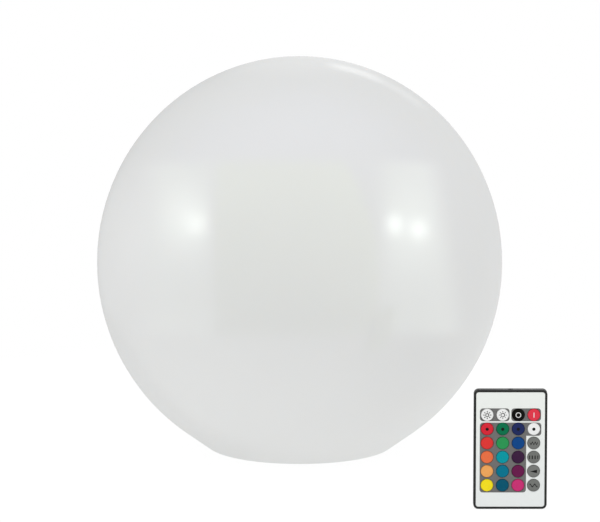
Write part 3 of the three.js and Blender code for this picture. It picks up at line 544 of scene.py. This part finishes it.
def put(piece):
    """Moves a piece of the remote from the drawing to its place."""
    only(piece)
    piece.location = REMOTE * MM
    bpy.ops.object.transform_apply(location=True, rotation=False, scale=False)
    return piece


# %% Shape the case
case = block("card_case", (-WIDE / 2, -DEEP / 2, 0), (WIDE / 2, DEEP / 2, TALL), corner=3.5, segments=10)
round_edges(case, 0.5)
face_room = block("face_room", (-24.6, -5, 1.4), (24.6, -2.35, TALL - 1.4), corner=2.1)
board_room = block("board_room", (-23.9, -4, 2.1), (23.9, 2.25, TALL - 2.1), corner=1.4)
cut(case, face_room)
cut(case, board_room)
cut(case, block("tray_room", (-12.2, -0.3, -1), (12.2, 5, 24.3), corner=0.4))
eye = turn_on_lathe("eye", [
    (0, TALL - 5), (1.8, TALL - 5), (1.8, TALL - 0.3), (2.1, TALL + 1), (0, TALL + 1)],
    sides=32, at=(0, 0.45, 0))
cut(case, eye)
post = block("post", (-1, -0.55, -1), (1, 2.75, 1))
posts = [copy_of(post, f"post_{x}_{z}", (x, 0, z)) for x in (-20.6, 20.6) for z in (27, 74)]
weld(case, *posts)
clear_away(post)
seat(put(case), "remote", "remote_case")

# %% [markdown]
# The face is one thin printed plate with a hole for each key. The keys' places come from the frame, so
# the holes follow them. One cutter with a rounded mouth is turned and copied 24 times.

# %% List the keys row by row, each with its colour
KEYS = {
    "brighter": (240, 241, 240), "dimmer": (240, 241, 240), "off": (8, 8, 8), "on": (226, 58, 76),
    "red": (216, 41, 57), "green": (8, 114, 76), "blue": (33, 44, 94), "white": (240, 241, 240),
    "tomato": (222, 56, 54), "light_green": (44, 149, 84), "royal_blue": (14, 70, 136),
    "flash": (118, 120, 117), "orange": (232, 112, 69), "cyan": (4, 151, 163), "violet": (59, 30, 63),
    "strobe": (114, 116, 113), "amber": (237, 166, 93), "teal": (3, 115, 142), "plum": (104, 26, 76),
    "fade": (120, 122, 119), "yellow": (244, 223, 33), "deep_teal": (3, 84, 110),
    "magenta": (199, 50, 115), "smooth": (116, 118, 115)}


def key_place(name):
    """A key's middle on the drawing, in millimetres."""
    low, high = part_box(f"key_{name}")
    return Vector(((low.x + high.x) / 2, REMOTE.y * MM, (low.z + high.z) / 2)) / MM - REMOTE


print("first key at", [round(v, 2) for v in key_place("brighter")])

# %% Cut the face
face = block("printed_face", (-24.3, -3.15, 1.7), (24.3, -2.35, TALL - 1.7), corner=1.8)
round_edges(face, 0.12, segments=2)
key_hole = turn_on_lathe("key_hole", [
    (0, -4), (4.9, -4), (4.9, -3.3), (4.71, -3.12), (4.63, -3.04), (4.6, -2.93), (4.6, -2), (0, -2)],
    sides=48, along="Y")
cut(face, *[copy_of(key_hole, f"key_hole_{name}", key_place(name)) for name in KEYS])
clear_away(key_hole)
seat(put(face), "remote", "remote_face")

# %% Turn one key and copy it to every place
CROWN = 12.7  # radius of the key's dome
crown = [(CROWN * math.sin(math.radians(a)), -4.15 + CROWN * (1 - math.cos(math.radians(a))))
         for a in (0, 3, 6, 9, 12, 15, 17.5)]
key = turn_on_lathe("key", [
    *crown, *arc((3.95, -3.18), 0.35, -60, 0, 4), (4.3, -2.15), (4.9, -2.15), (4.9, -1.85), (0, -1.85)],
    sides=48, along="Y")
smooth(key)
caps = {}
for name in KEYS:
    caps[name] = put(copy_of(key, f"cap_{name}", key_place(name)))
    slot = {"brighter": "white", "dimmer": "white", "off": "black", "on": "red"}.get(name, name)
    slot = "grey" if name in ("flash", "strobe", "fade", "smooth") else slot
    seat(caps[name], f"key_{name}", f"key_{name}", angle=0)
clear_away(key)

# %% [markdown]
# A flat tray slides out of the remote's lower end with the coin cell in it. The tray is a block with the
# cell's round room cut out, and three thumb grooves across its back.

# %% Cut the tray
tray = block("cell_tray", (-11.9, 0, 0.2), (11.9, DEEP / 2, 24), corner=0.4)
round_edges(tray, 0.15, segments=2)
cut(tray, block("cell_room", (-10.3, -1, 12.9), (10.3, 2.5, 26)))
cut(tray, turn_on_lathe("cell_bowl", [(0, -1), (10.3, -1), (10.3, 2.5), (0, 2.5)],
                        sides=64, along="Y", at=(0, 0, 13.5)))
groove = block("groove", (-6, DEEP / 2 - 0.3, 1.7), (6, DEEP, 2.5))
round_edges(groove, 0.12, segments=2)
grooves = [copy_of(groove, f"groove_{i}", (0, 0, 1.6 * i)) for i in range(3)]
cut(tray, *grooves)
clear_away(groove)
seat(put(tray), "tray", "battery_tray")

# %% Turn the coin cell and the emitter
coin = turn_on_lathe("coin_cell_can", [
    (0, 0.05), (8.7, 0.05), (8.9, 0.15), (9.0, 0.35), (9.6, 0.35), *arc((9.6, 0.75), 0.4, -90, 0, 3),
    *arc((9.6, 2.1), 0.4, 0, 90, 3), (0, 2.5)], sides=72, along="Y", at=(0, 0, 13.5))
seat(put(coin), "tray", "coin_cell")
emitter = turn_on_lathe("emitter_lens", [
    (0, 77.3), (1.5, 77.3), *arc((0, 84.2), 1.5, 0, 75, 5), (0, 85.7)], sides=32, at=(0, 0.45, 0))
seat(put(emitter), "remote", "infrared_emitter")

# %% [markdown]
# ## Finishes
# Every finish is made of nodes, so it has no picture files and works at any distance. Shader maths reads
# best as plain Python, so one small class wraps a node's output and lets the usual signs add Math nodes.
# A second class holds a material and has the one method that adds any node. Patterns read Object
# coordinates, which are the frame's own metres on every piece here.


# %% Write shader maths as expressions
def does(operation, swapped=False):
    """The method behind one of Python's signs, which adds one Math node."""
    if swapped:
        return lambda self, other: self.maths(operation, other, self)
    return lambda self, other: self.maths(operation, self, other)


class Wire:
    """The output of a shader node, on which Python's signs do maths."""

    def __init__(self, finish, socket):
        self.finish, self.socket = finish, socket

    def maths(self, operation, *values):
        return self.finish.node("Math", dict(enumerate(values)), operation=operation)

    def __abs__(self):
        return self.maths("ABSOLUTE", self)

    __add__ = __radd__ = does("ADD")
    __mul__ = __rmul__ = does("MULTIPLY")
    __sub__, __rsub__ = does("SUBTRACT"), does("SUBTRACT", swapped=True)
    __truediv__, __rtruediv__ = does("DIVIDE"), does("DIVIDE", swapped=True)
    __pow__, __lt__, __gt__ = does("POWER"), does("LESS_THAN"), does("GREATER_THAN")
    highest = does("MAXIMUM")


# %% Hold a material and add any node
class Finish:
    """A material whose nodes are added by one method, which puts ShaderNode before their kind."""

    def __init__(self, name, **constants):
        self.material = bpy.data.materials.new(name)
        self.material.use_nodes = True
        self.tree = self.material.node_tree
        self.shader = self.tree.nodes["Principled BSDF"]
        for key, value in constants.items():
            self.shader.inputs[key.replace("_", " ")].default_value = value
        self.where = self.node("TexCoord", output="Object")
        self.x, self.y, self.z = (self.node("SeparateXYZ", {0: self.where}, axis) for axis in "XYZ")

    def node(self, kind, values=None, output=0, **settings):
        node = self.tree.nodes.new("ShaderNode" + kind)
        for key, value in settings.items():
            setattr(node, key, value)
        self.feed(node, values or {})
        return Wire(self, node.outputs[output])

    def feed(self, node, values):
        for key, value in values.items():
            if isinstance(value, Wire):
                self.tree.links.new(value.socket, node.inputs[key])
            else:
                node.inputs[key].default_value = value

    def output(self, shader):
        self.feed(self.tree.nodes["Material Output"], {"Surface": shader})

    def noise(self, scale, detail=2, where=None):
        settings = {"Vector": where or self.where, "Scale": scale, "Detail": detail}
        return self.node("TexNoise", settings)

    def mix(self, share, first, second):
        return self.node("Mix", {0: share, 6: first, 7: second}, 2, data_type="RGBA")

    def surface(self, colour, roughness, height, depth, metallic=0.0):
        """Feeds the shader. Height is a bump from 0 to 1, and depth is how deep that is in metres."""
        bump = self.node("Bump", {"Height": height, "Distance": depth, "Strength": 1.0})
        self.feed(self.shader, {"Base Color": colour, "Roughness": roughness, "Metallic": metallic,
                                "Normal": bump})
        return self.material


def colour(red, green, blue):
    """A colour as a screen shows it, from 0 to 255, as the linear light that shaders use."""
    def linear(value):
        share = value / 255
        return share / 12.92 if share <= 0.04045 else ((share + 0.055) / 1.055) ** 2.4
    return (linear(red), linear(green), linear(blue), 1)


def times(shade, share):
    """The same colour with less light in it."""
    return [v * share for v in shade[:3]] + [1]


def paint(material, *things):
    """Puts a finish on pieces, and on CAD nodes by their names."""
    pieces = [frame["nodes"][thing] if isinstance(thing, str) else thing for thing in things]
    for piece in pieces:
        piece.data.materials.clear()
        piece.data.materials.append(material)
    print(f"{material.name}: {', '.join(piece.name for piece in pieces)}")


# %% [markdown]
# ### Milky polyethylene
# Blow-moulded polyethylene is glossy but never optically flat. Its skin has a very faint orange peel, its
# colour drifts where the wall is thicker, and light goes a millimetre or two into it before it comes out.
# Subsurface scattering gives that depth, and two noises of different size give the drift and the peel.
# The skin's inner face also has a faint painted glow, a light of its own that stands for the light inside
# the ball.

# %% Make the milky skin
milky = Finish("milky_polyethylene", Subsurface_Weight=0.3, Subsurface_Scale=0.0015, Specular_IOR_Level=0.0,
               Coat_Roughness=0.1, Emission_Strength=1.0)
milky.shader.inputs["Subsurface Radius"].default_value = (1.0, 0.9, 0.8)
drift = milky.noise(9, 3)
peel = milky.noise(420, 2)
grazing = milky.node("LayerWeight", {"Blend": 0.5}, "Facing") ** 5
milky.feed(milky.shader, {"Coat Weight": (0.04 + 0.08 * grazing) / (0.04 + 0.96 * grazing)})
# Painted light: the skin's inner face, above the foot, glows with a faint grey light of its own, which
# stands for the light inside the ball.
height = (milky.z - ball_centre) / BALL_STRETCH
depth_in = ball_radius - (milky.x * milky.x + milky.y * milky.y + height * height) ** 0.5
inside = (depth_in > 0.0015) * (milky.z > 0.012)  # deeper than half the wall, and above the foot
painted_glow = milky.mix(inside, (0, 0, 0, 1), (0.24, 0.24, 0.235, 1))
milky.feed(milky.shader, {"Emission Color": painted_glow})
milky.material.cycles.emission_sampling = "NONE"
paint(milky.surface(
    colour=milky.mix(drift, colour(218, 219, 218), colour(221, 222, 221)),
    roughness=0.3 + 0.1 * milky.noise(35, 3),
    height=peel, depth=0.00001), ball)


# %% [markdown]
# ### Moulded plastics and rubber
# The smaller mouldings share one recipe: a colour that drifts a little, a roughness that drifts with it,
# and a grain, which is the texture that the mould leaves. Only the numbers change from piece to piece.

# %% Make the moulded finishes
def moulded(name, shade, roughness, grain, depth, drift=0.05, **constants):
    """Plastic or rubber. Grain is the texture's grains in each metre."""
    finish = Finish(name, **constants)
    return finish.surface(
        colour=finish.mix(finish.noise(70, 4), times(shade, 1 - drift), shade),
        roughness=roughness - 0.05 + 0.1 * finish.noise(240, 3),
        height=finish.noise(grain, 3), depth=depth)


paint(moulded("white_plastic", colour(228, 229, 227), 0.38, 2600, 0.00003), collar, ring, base, can)
paint(moulded("frosted_plastic", colour(238, 239, 236), 0.5, 3800, 0.00004, Subsurface_Weight=0.4,
              Subsurface_Scale=0.002), dome, window)
paint(moulded("grey_rubber", colour(141, 145, 147), 0.62, 1500, 0.00004), seal, button, "collar_gasket")
paint(moulded("white_silicone", colour(220, 222, 221), 0.55, 1900, 0.00003), plug)
paint(moulded("black_plastic", colour(43, 43, 44), 0.45, 2600, 0.00003, drift=0.2), socket,
      "battery_holder", "switch_body")
paint(moulded("remote_black", colour(46, 46, 47), 0.42, 3200, 0.00002, drift=0.2, Specular_IOR_Level=0.05,
              Coat_Weight=0.12, Coat_Roughness=0.3), case, tray)


# %% [markdown]
# ### Steel
# The screws are turned and the contacts are rolled, so their marks run in lines. Noise that is stretched
# far along one axis by a Mapping node gives lines like that, in the roughness and in a very low bump.

# %% Make the steel finishes
def brushed(name, shade, roughness, stretch):
    finish = Finish(name)
    along = finish.node("Mapping", {"Vector": finish.where, "Scale": stretch})
    marks = finish.noise(1, 4, along)
    return finish.surface(
        colour=finish.mix(finish.noise(120, 3), times(shade, 0.88), shade),
        roughness=roughness - 0.08 + 0.16 * marks, height=marks, depth=0.000004, metallic=1.0)


screws = [piece for piece in bpy.data.objects if "_screw_" in piece.name and "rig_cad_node" not in piece]
paint(brushed("stainless_screw", colour(186, 188, 190), 0.28, (900, 900, 9000)), *screws)
paint(brushed("cell_steel", colour(201, 204, 206), 0.24, (600, 6000, 6000)), coin)
paint(brushed("spring_steel", colour(185, 188, 190), 0.3, (6000, 600, 400)), "negative_contact",
      "positive_contact")


# %% [markdown]
# ### The printed face
# The face is pale plastic with four grey panels printed on it. A printed shape is a distance: how far a
# point is from a rounded rectangle. The distance is worked out from the width and height on the drawing,
# so the print stays sharp from any distance, and it sits a hair proud as ink does.

# %% Print the grey panels
def on_drawing(finish):
    """Width and height on the remote's drawing, in millimetres."""
    return finish.x / MM - REMOTE.x, finish.z / MM - REMOTE.z


def panel(across, up, left, right, low, high, corner=2.3):
    """1 inside a rounded rectangle and 0 outside it."""
    side = (abs(across - (left + right) / 2) - ((right - left) / 2 - corner)).highest(0)
    end = (abs(up - (low + high) / 2) - ((high - low) / 2 - corner)).highest(0)
    return (side * side + end * end) < corner ** 2


PANELS = ((-21.65, -0.7, 63.5, 72.8), (0.5, 21.5, 63.5, 72.8), (-21.65, 11.2, 12.0, 62.5),
          (-21.65, 21.8, 53.0, 62.5))  # left, right, low, high
printed = Finish("remote_face", Coat_Weight=0.15, Coat_Roughness=0.12)
across, up = on_drawing(printed)
ink = panel(across, up, *PANELS[0])
for sides in PANELS[1:]:
    ink = ink.highest(panel(across, up, *sides))
# The pale part is painted lighter toward the top of the face, as light from above falls there, with a
# little random drift on top.
pale = printed.mix(0.01 * up + 0.2 * printed.noise(60, 3), colour(224, 227, 228), colour(234, 237, 234))
grey = printed.mix(printed.noise(500, 3), colour(92, 90, 93), colour(100, 98, 101))
paint(printed.surface(
    colour=printed.mix(ink, pale, grey), roughness=0.34 + 0.1 * ink + 0.06 * printed.noise(400, 3),
    height=ink * 0.6 + 0.4 * printed.noise(2500, 2), depth=0.00002), face)


# %% [markdown]
# ### The keys
# Each key is glossy and has its own colour. The first row has the usual signs for brighter, dimmer, off
# and on. The four primary keys have a dot, and the four grey keys have a little drawing of what the light
# does: it blinks, flickers, fades or flows. The signs are shader maths too, in millimetres from the
# key's middle, across and up.

# %% Draw the signs
def ring_sign(u, v, radius, width):
    return abs((u * u + v * v) ** 0.5 - radius) < width / 2


def bar_sign(u, v, middle_u, middle_v, wide, high):
    return (abs(u - middle_u) / (wide / 2)).highest(abs(v - middle_v) / (high / 2)) < 1


def sun_sign(u, v, radius, first, last):
    """A ring with eight rays, folded so that one ray is drawn and stands for all."""
    turn = u.maths("ARCTAN2", v, u)
    folded = turn.maths("PINGPONG", turn + math.pi, math.pi / 8)
    length = (u * u + v * v) ** 0.5
    ray = bar_sign(length * folded.maths("COSINE", folded), length * folded.maths("SINE", folded),
                   (first + last) / 2, 0, last - first, 0.6)
    return ring_sign(u, v, radius, 0.55).highest(ray)


def line_sign(u, height, v):
    """A drawn line that follows a height along the key."""
    return (abs(v - height) < 0.5) * (abs(u) < 2.8)


SIGNS = {
    "brighter": lambda u, v: sun_sign(u, v, 1.1, 1.8, 2.9),
    "dimmer": lambda u, v: sun_sign(u, v, 1.3, 2.1, 2.7),
    "off": lambda u, v: ring_sign(u, v, 1.7, 0.5),
    "on": lambda u, v: bar_sign(u, v, 0, 0, 0.55, 3.6),
    "flash": lambda u, v: line_sign(u, u.maths("PINGPONG", u + 20, 1.0) * 2 - 1.0, v),
    "strobe": lambda u, v: bar_sign(u.maths("PINGPONG", u + 20, 1.0), v, 1.0, 0, 0.8, 2.6)
    * (abs(u) < 3.2),
    "fade": lambda u, v: (abs(u) < 2.4) * (abs(v) < (u + 2.6) * 0.25),
    "smooth": lambda u, v: line_sign(u, u.maths("SINE", u * 1.9) * 0.9, v),
}
for name in ("red", "green", "blue", "white"):
    SIGNS[name] = lambda u, v: (u * u + v * v) < 1.3

# %% Colour the keys
for name, shade in KEYS.items():
    finish = Finish(f"cap_{name}", Coat_Weight=0.06, Coat_Roughness=0.1, Specular_IOR_Level=0.03)
    across, up = on_drawing(finish)
    place = key_place(name)
    tone = colour(*shade)
    skin = finish.mix(finish.noise(500, 3), times(tone, 0.9), tone)
    if name in SIGNS:
        mark = SIGNS[name](across - place.x, up - place.z)
        inked = colour(232, 232, 230) if name in ("off", "on") else colour(24, 23, 25)
        skin = finish.mix(mark, skin, inked)
    paint(finish.surface(colour=skin, roughness=0.3 + 0.1 * finish.noise(900, 2),
                         height=finish.noise(1800, 2), depth=0.00001), caps[name])

# %% [markdown]
# ### The parts inside
# The parts that only show when the light is opened keep their CAD shapes, and get finishes of their own:
# printed boards with copper tracks, a wrapped battery with bare steel ends, ribbon cables and the clear
# emitter.

# %% Make the boards
def board(name, mask, chips, chip_test):
    """Solder mask over right-angled tracks. chip_test gives 1 on what stands on the board."""
    finish = Finish(name)
    cells = finish.node("TexVoronoi", {"Vector": finish.where, "Scale": 260.0, "Randomness": 0.7},
                        distance="MANHATTAN")
    track = abs(cells - 0.55) < 0.07
    pad = finish.node("TexVoronoi", {"Vector": finish.where, "Scale": 520.0}) < 0.16
    lighter = [min(1, v * 1.7 + 0.02) for v in mask[:3]] + [1]
    printed_side = finish.mix(pad, finish.mix(track, mask, lighter), colour(200, 190, 160))
    chip = chip_test(finish)
    return finish.surface(
        colour=finish.mix(chip, printed_side, chips),
        roughness=0.35 + 0.15 * chip + 0.1 * finish.noise(800, 2),
        height=track.highest(pad) * (1 - chip), depth=0.00004)


GREEN, BLACK = colour(28, 84, 54), colour(34, 34, 36)
paint(board("control_green", GREEN, BLACK, lambda f: f.z > 0.0187), "control_board")
paint(board("remote_green", GREEN, BLACK, lambda f: f.y > REMOTE.y * MM - 0.0005), "remote_board")
paint(board("light_white", colour(238, 238, 234), colour(236, 206, 96), lambda f: f.z > 0.052),
      "light_board")

# %% Make the battery, the cables and the domes
wrap = Finish("battery_wrap")
bare = abs(wrap.x) > 0.0313
blue = wrap.mix(abs(wrap.y) < 0.0003, colour(43, 95, 168), colour(34, 76, 140))
paint(wrap.surface(
    colour=wrap.mix(bare, blue, colour(200, 202, 204)), roughness=0.32 + 0.08 * wrap.noise(300, 3),
    height=wrap.noise(90, 3), depth=0.00008, metallic=bare), "battery_cell")


def ribbon(name, shade, groove):
    """A flat cable: round wires side by side under one skin."""
    finish = Finish(name)
    wires = finish.x.maths("PINGPONG", finish.x + 1, groove)
    return finish.surface(colour=finish.mix(finish.noise(300, 3), times(shade, 0.8), shade),
                          roughness=0.45 + 0.1 * finish.noise(700, 2), height=wires / groove, depth=0.0002)


paint(ribbon("black_ribbon", colour(36, 36, 37), 0.0005), "light_cable")
paint(ribbon("red_ribbon", colour(168, 40, 44), 0.00075), "battery_cable")
paint(moulded("receiver_black", colour(30, 28, 32), 0.15, 900, 0.00001, drift=0.3), "infrared_receiver")
paint(moulded("clear_resin", colour(240, 240, 238), 0.06, 700, 0.000005, Transmission_Weight=0.85,
              IOR=1.5), emitter)

domes = Finish("dome_sheet")
across, up = on_drawing(domes)
HALF_ACROSS, HALF_UP, FIRST_ROW = 5.5, 5.085, 17.25  # half the way from key to key, and the lowest keys
u = across.maths("PINGPONG", across + 20 * HALF_ACROSS, HALF_ACROSS) - HALF_ACROSS
v = up.maths("PINGPONG", up - FIRST_ROW + 20 * HALF_UP, HALF_UP)
snap = (u * u + v * v) < 9
paint(domes.surface(
    colour=domes.mix(snap, colour(216, 212, 196), colour(188, 190, 192)),
    roughness=0.4 + 0.1 * domes.noise(500, 2), height=snap + 0.1 * domes.noise(900, 2), depth=0.0002,
    metallic=snap), "remote_dome_sheet")

# %% [markdown]
# ## The studio
# A white ball on white is lit like glass in a catalogue: soft even light shows its shape, and its gloss
# is drawn by what it mirrors, a light tent that only mirrors see. Two bright panels stand left and right
# with a lamp behind each, a darker wall hangs between them, and the cloth turns grey toward the rim, so
# that the ball doesn't melt into the background. A card of the same cloth keeps the remote out of the
# ball's reflection. The world is white to the camera and to all that mirrors it. The table is milky glass
# to the camera, as light as the world behind it: it keeps the object's shadow and still shows the capsule
# when that drops below it.

# %% Light the world
world = bpy.data.worlds.new("studio_world")
bpy.context.scene.world = world
world.use_nodes = True
tree = world.node_tree
rays = tree.nodes.new("ShaderNodeLightPath").outputs
seen = rays["Is Camera Ray"]
for kind in ("Is Glossy Ray", "Is Transmission Ray"):
    either = tree.nodes.new("ShaderNodeMath")
    either.operation = "MAXIMUM"
    tree.links.new(seen, either.inputs[0])
    tree.links.new(rays[kind], either.inputs[1])
    seen = either.outputs[0]
light = tree.nodes.new("ShaderNodeMix")
light.data_type = "RGBA"
light.inputs[6].default_value = (0.90, 0.90, 0.905, 1)
light.inputs[7].default_value = (1, 1, 1, 1)
tree.links.new(seen, light.inputs[0])
tree.links.new(light.outputs[2], tree.nodes["Background"].inputs["Color"])


# %% Lay the table
def ramp(value, first, last):
    """0 before first and 1 after last, with soft ends."""
    ends = {"Value": value, "From Min": first, "From Max": last}
    return value.finish.node("MapRange", ends, interpolation_type="SMOOTHSTEP")


TABLE, CLEAR_FROM, CLEAR_AT = 0.42, 0.33, 0.415  # radii: the table, and where its rim fades out
floor = start("circle", "table_top", vertices=96, radius=TABLE, fill_type="NGON")
only(floor)
floor.visible_glossy = False
top = Finish("table_white")


def shadow_taker(other, matt):
    """Another shader with a little matt white added, which takes the shadow."""
    white = top.node("BsdfDiffuse", {"Color": (matt, matt, matt, 1)})
    return top.node("AddShader", {0: white, 1: other})


GLOW, MATT = 0.74, 0.34  # the table as the lamps' light meets it
CLEAR, HAZE = 0.87, 0.17  # the table as the camera sees it, with the same brightness
to_camera = top.node("LightPath", {}, "Is Camera Ray")
own_light = shadow_taker(top.node("Emission", {"Color": (1, 1, 1, 1), "Strength": GLOW}), MATT)
glass = shadow_taker(top.node("BsdfTransparent", {"Color": (CLEAR, CLEAR, CLEAR, 1)}), HAZE)
lit = top.node("MixShader", {0: to_camera, 1: own_light, 2: glass})
away = top.node("BsdfTransparent")
under = top.node("NewGeometry", {}, "Backfacing")
near_rim = to_camera * ramp((top.x * top.x + top.y * top.y) ** 0.5, CLEAR_FROM, CLEAR_AT)
top.output(top.node("MixShader", {0: under.highest(near_rim), 1: lit, 2: away}))
paint(top.material, floor)


# %% Sew a light tent that only mirrors see
def between(value, first, last, soft):
    """1 between two values, with soft ends."""
    return ramp(value, first - soft, first + soft) * ramp(value, last + soft, last - soft)


def glow(at_u, at_v, wide, high):
    """A soft spot, 1 in its middle."""
    off_u, off_v = (u - at_u) / wide, (v - at_v) / high
    return u.maths("EXPONENT", (off_u * off_u + off_v * off_v) * -1)


def hang(piece):
    """Centres a cloth on the ball and shows it to mirrors only."""
    only(piece)
    piece.location = (0, 0, ball_centre)
    piece.visible_camera = piece.visible_diffuse = piece.visible_shadow = False
    piece.visible_transmission = False


TENT_RADIUS = 2.4
tent = start("uv_sphere", "light_tent", radius=TENT_RADIUS, segments=64, ring_count=32)
bpy.ops.mesh.flip_normals()
hang(tent)
cloth = Finish("tent_cloth")
cloth.material.cycles.emission_sampling = "NONE"
way = cloth.node("VectorMath", {0: cloth.where}, operation="NORMALIZE")
half = cloth.node("VectorMath", {0: way, 1: camera_back}, operation="ADD")
half = cloth.node("VectorMath", {0: half}, operation="NORMALIZE")
half_y, half_z = (cloth.node("SeparateXYZ", {0: half}, axis) for axis in "YZ")
u = cloth.node("SeparateXYZ", {0: half}, "X")
v = half_y * math.sin(CAMERA_RISE) + half_z * math.cos(CAMERA_RISE)
out = (u * u + v * v) ** 0.5

# %% Paint the tent
rows = between(v, -0.335, 0.46, 0.035)
left_side = ramp(u, 0.1, -0.4)
left_edge = ramp(out, 0.86, 1.0) * left_side * (0.3 * ramp(v, 0.2, 0.5) + ramp(v, -0.15, -0.45))
upper = ramp(v, -0.2, 0.5) * (0.65 - 0.4 * ramp(u, 0.1, 0.6))
base_tone = 0.6 + 0.08 * u + (upper + 0.55) * ramp(out, 1.0, 0.55) + 0.8 * ramp(v, 0.85, 0.97)
base_tone = base_tone + 0.9 * glow(-0.80, 0.10, 0.15, 0.30) - 1.3 * left_edge \
    - 0.6 * ramp(out, 0.955, 1.0) * left_side
wall_tone = v.maths("MINIMUM", v * 2.2 + 1.32, 2.1) + 0.4 * ramp(u, 0.0, 0.38)
wall = rows * ramp(u, -0.42, -0.38) * ramp(u + 0.55 * (v + 0.08) * (v + 0.08), 0.385, 0.365)
left_tone = 1.6 + 0.5 * ramp(v, -0.25, 0.1) + 2.8 * glow(-0.54, 0.20, 0.12, 0.15) \
    + 3.6 * glow(-0.487, 0.17, 0.05, 0.05)
left = rows * ramp(u, -0.82, -0.62) * ramp(u, -0.37, -0.455)
right_tone = 2.3 + 0.3 * ramp(v, -0.25, 0.0) + 1.9 * glow(0.52, 0.16, 0.15, 0.18) \
    + 5.9 * glow(0.447, 0.168, 0.04, 0.045) + 5.0 * glow(0.565, 0.145, 0.045, 0.045)
right = rows * ramp(u, 0.30, 0.46) * ramp(u + 0.15 * v, 0.785, 0.635)
lean = u.maths("ARCTAN2", u, v)
streak = between(lean, 0.17, 0.42, 0.06) + 0.4 * between(lean, 0.42, 0.68, 0.06)
tone = base_tone.highest(0)
for area, its_tone in ((wall, wall_tone), (left, left_tone), (right, right_tone)):
    tone = tone + area * (its_tone - tone)
tone = tone + 2.4 * between(out, 0.938, 0.966, 0.012) * streak
sky = ramp(v, 0.1, 0.6) * ramp(out, 0.95, 0.7)
tint = cloth.mix(sky, (1, 1, 1, 1), (1.0, 1.0, 1.2, 1))
tint = cloth.mix(left.highest(right), tint, (0.93, 1.0, 0.93, 1))
tint = cloth.mix(wall, tint, (0.9, 1.0, 0.7, 1))
shine = cloth.node("Emission", {"Color": tint, "Strength": tone})
back = cloth.node("NewGeometry", {}, "Backfacing")
clear = cloth.node("BsdfTransparent")
cloth.output(cloth.node("MixShader", {0: back, 1: shine, 2: clear}))
paint(cloth.material, tent)

# %% Stand a card of the same cloth behind the remote
CARD_WIDE, CARD_HIGH, CARD_MIDDLE, CARD_GAP = 0.060, 0.098, 0.047, 0.008  # metres
card_place = Vector((REMOTE.x * MM, REMOTE.y * MM + CARD_GAP, CARD_MIDDLE - ball_centre))
screen = start("plane", "screen", size=1, location=card_place, rotation=(-math.pi / 2, 0, 0),
               scale=(CARD_WIDE, CARD_HIGH, 1))
hang(screen)
paint(cloth.material, screen)


# %% Light it
LAMP_DISTANCE = 1.6


def lamp(name, azimuth, rise, size, watts):
    """A square soft box that faces the ball's middle."""
    a, e = math.radians(azimuth), math.radians(rise)
    way = Vector((math.sin(a) * math.cos(e), -math.cos(a) * math.cos(e), math.sin(e)))
    bpy.ops.object.select_all(action="DESELECT")
    bpy.ops.object.light_add(type="AREA", location=way * LAMP_DISTANCE + Vector((0, 0, ball_centre)))
    made = bpy.context.object
    made.name = name
    made.rotation_euler = way.to_track_quat("Z", "Y").to_euler()
    made.data.size = size
    made.data.energy = watts
    made.visible_glossy = False
    print(f"{name}: {watts} W, {size} m wide")


lamp("overhead_light", 10, 70, 1.2, 1.8)
lamp("left_light", -60, 25, 1.0, 1.5)
lamp("right_light", 60, 25, 1.0, 1.5)

# %% [markdown]
# ## The last setting
# The view transform is the plain one, so a colour shows as it was written.

# %% Set the view transform
bpy.context.scene.view_settings.view_transform = "Standard"
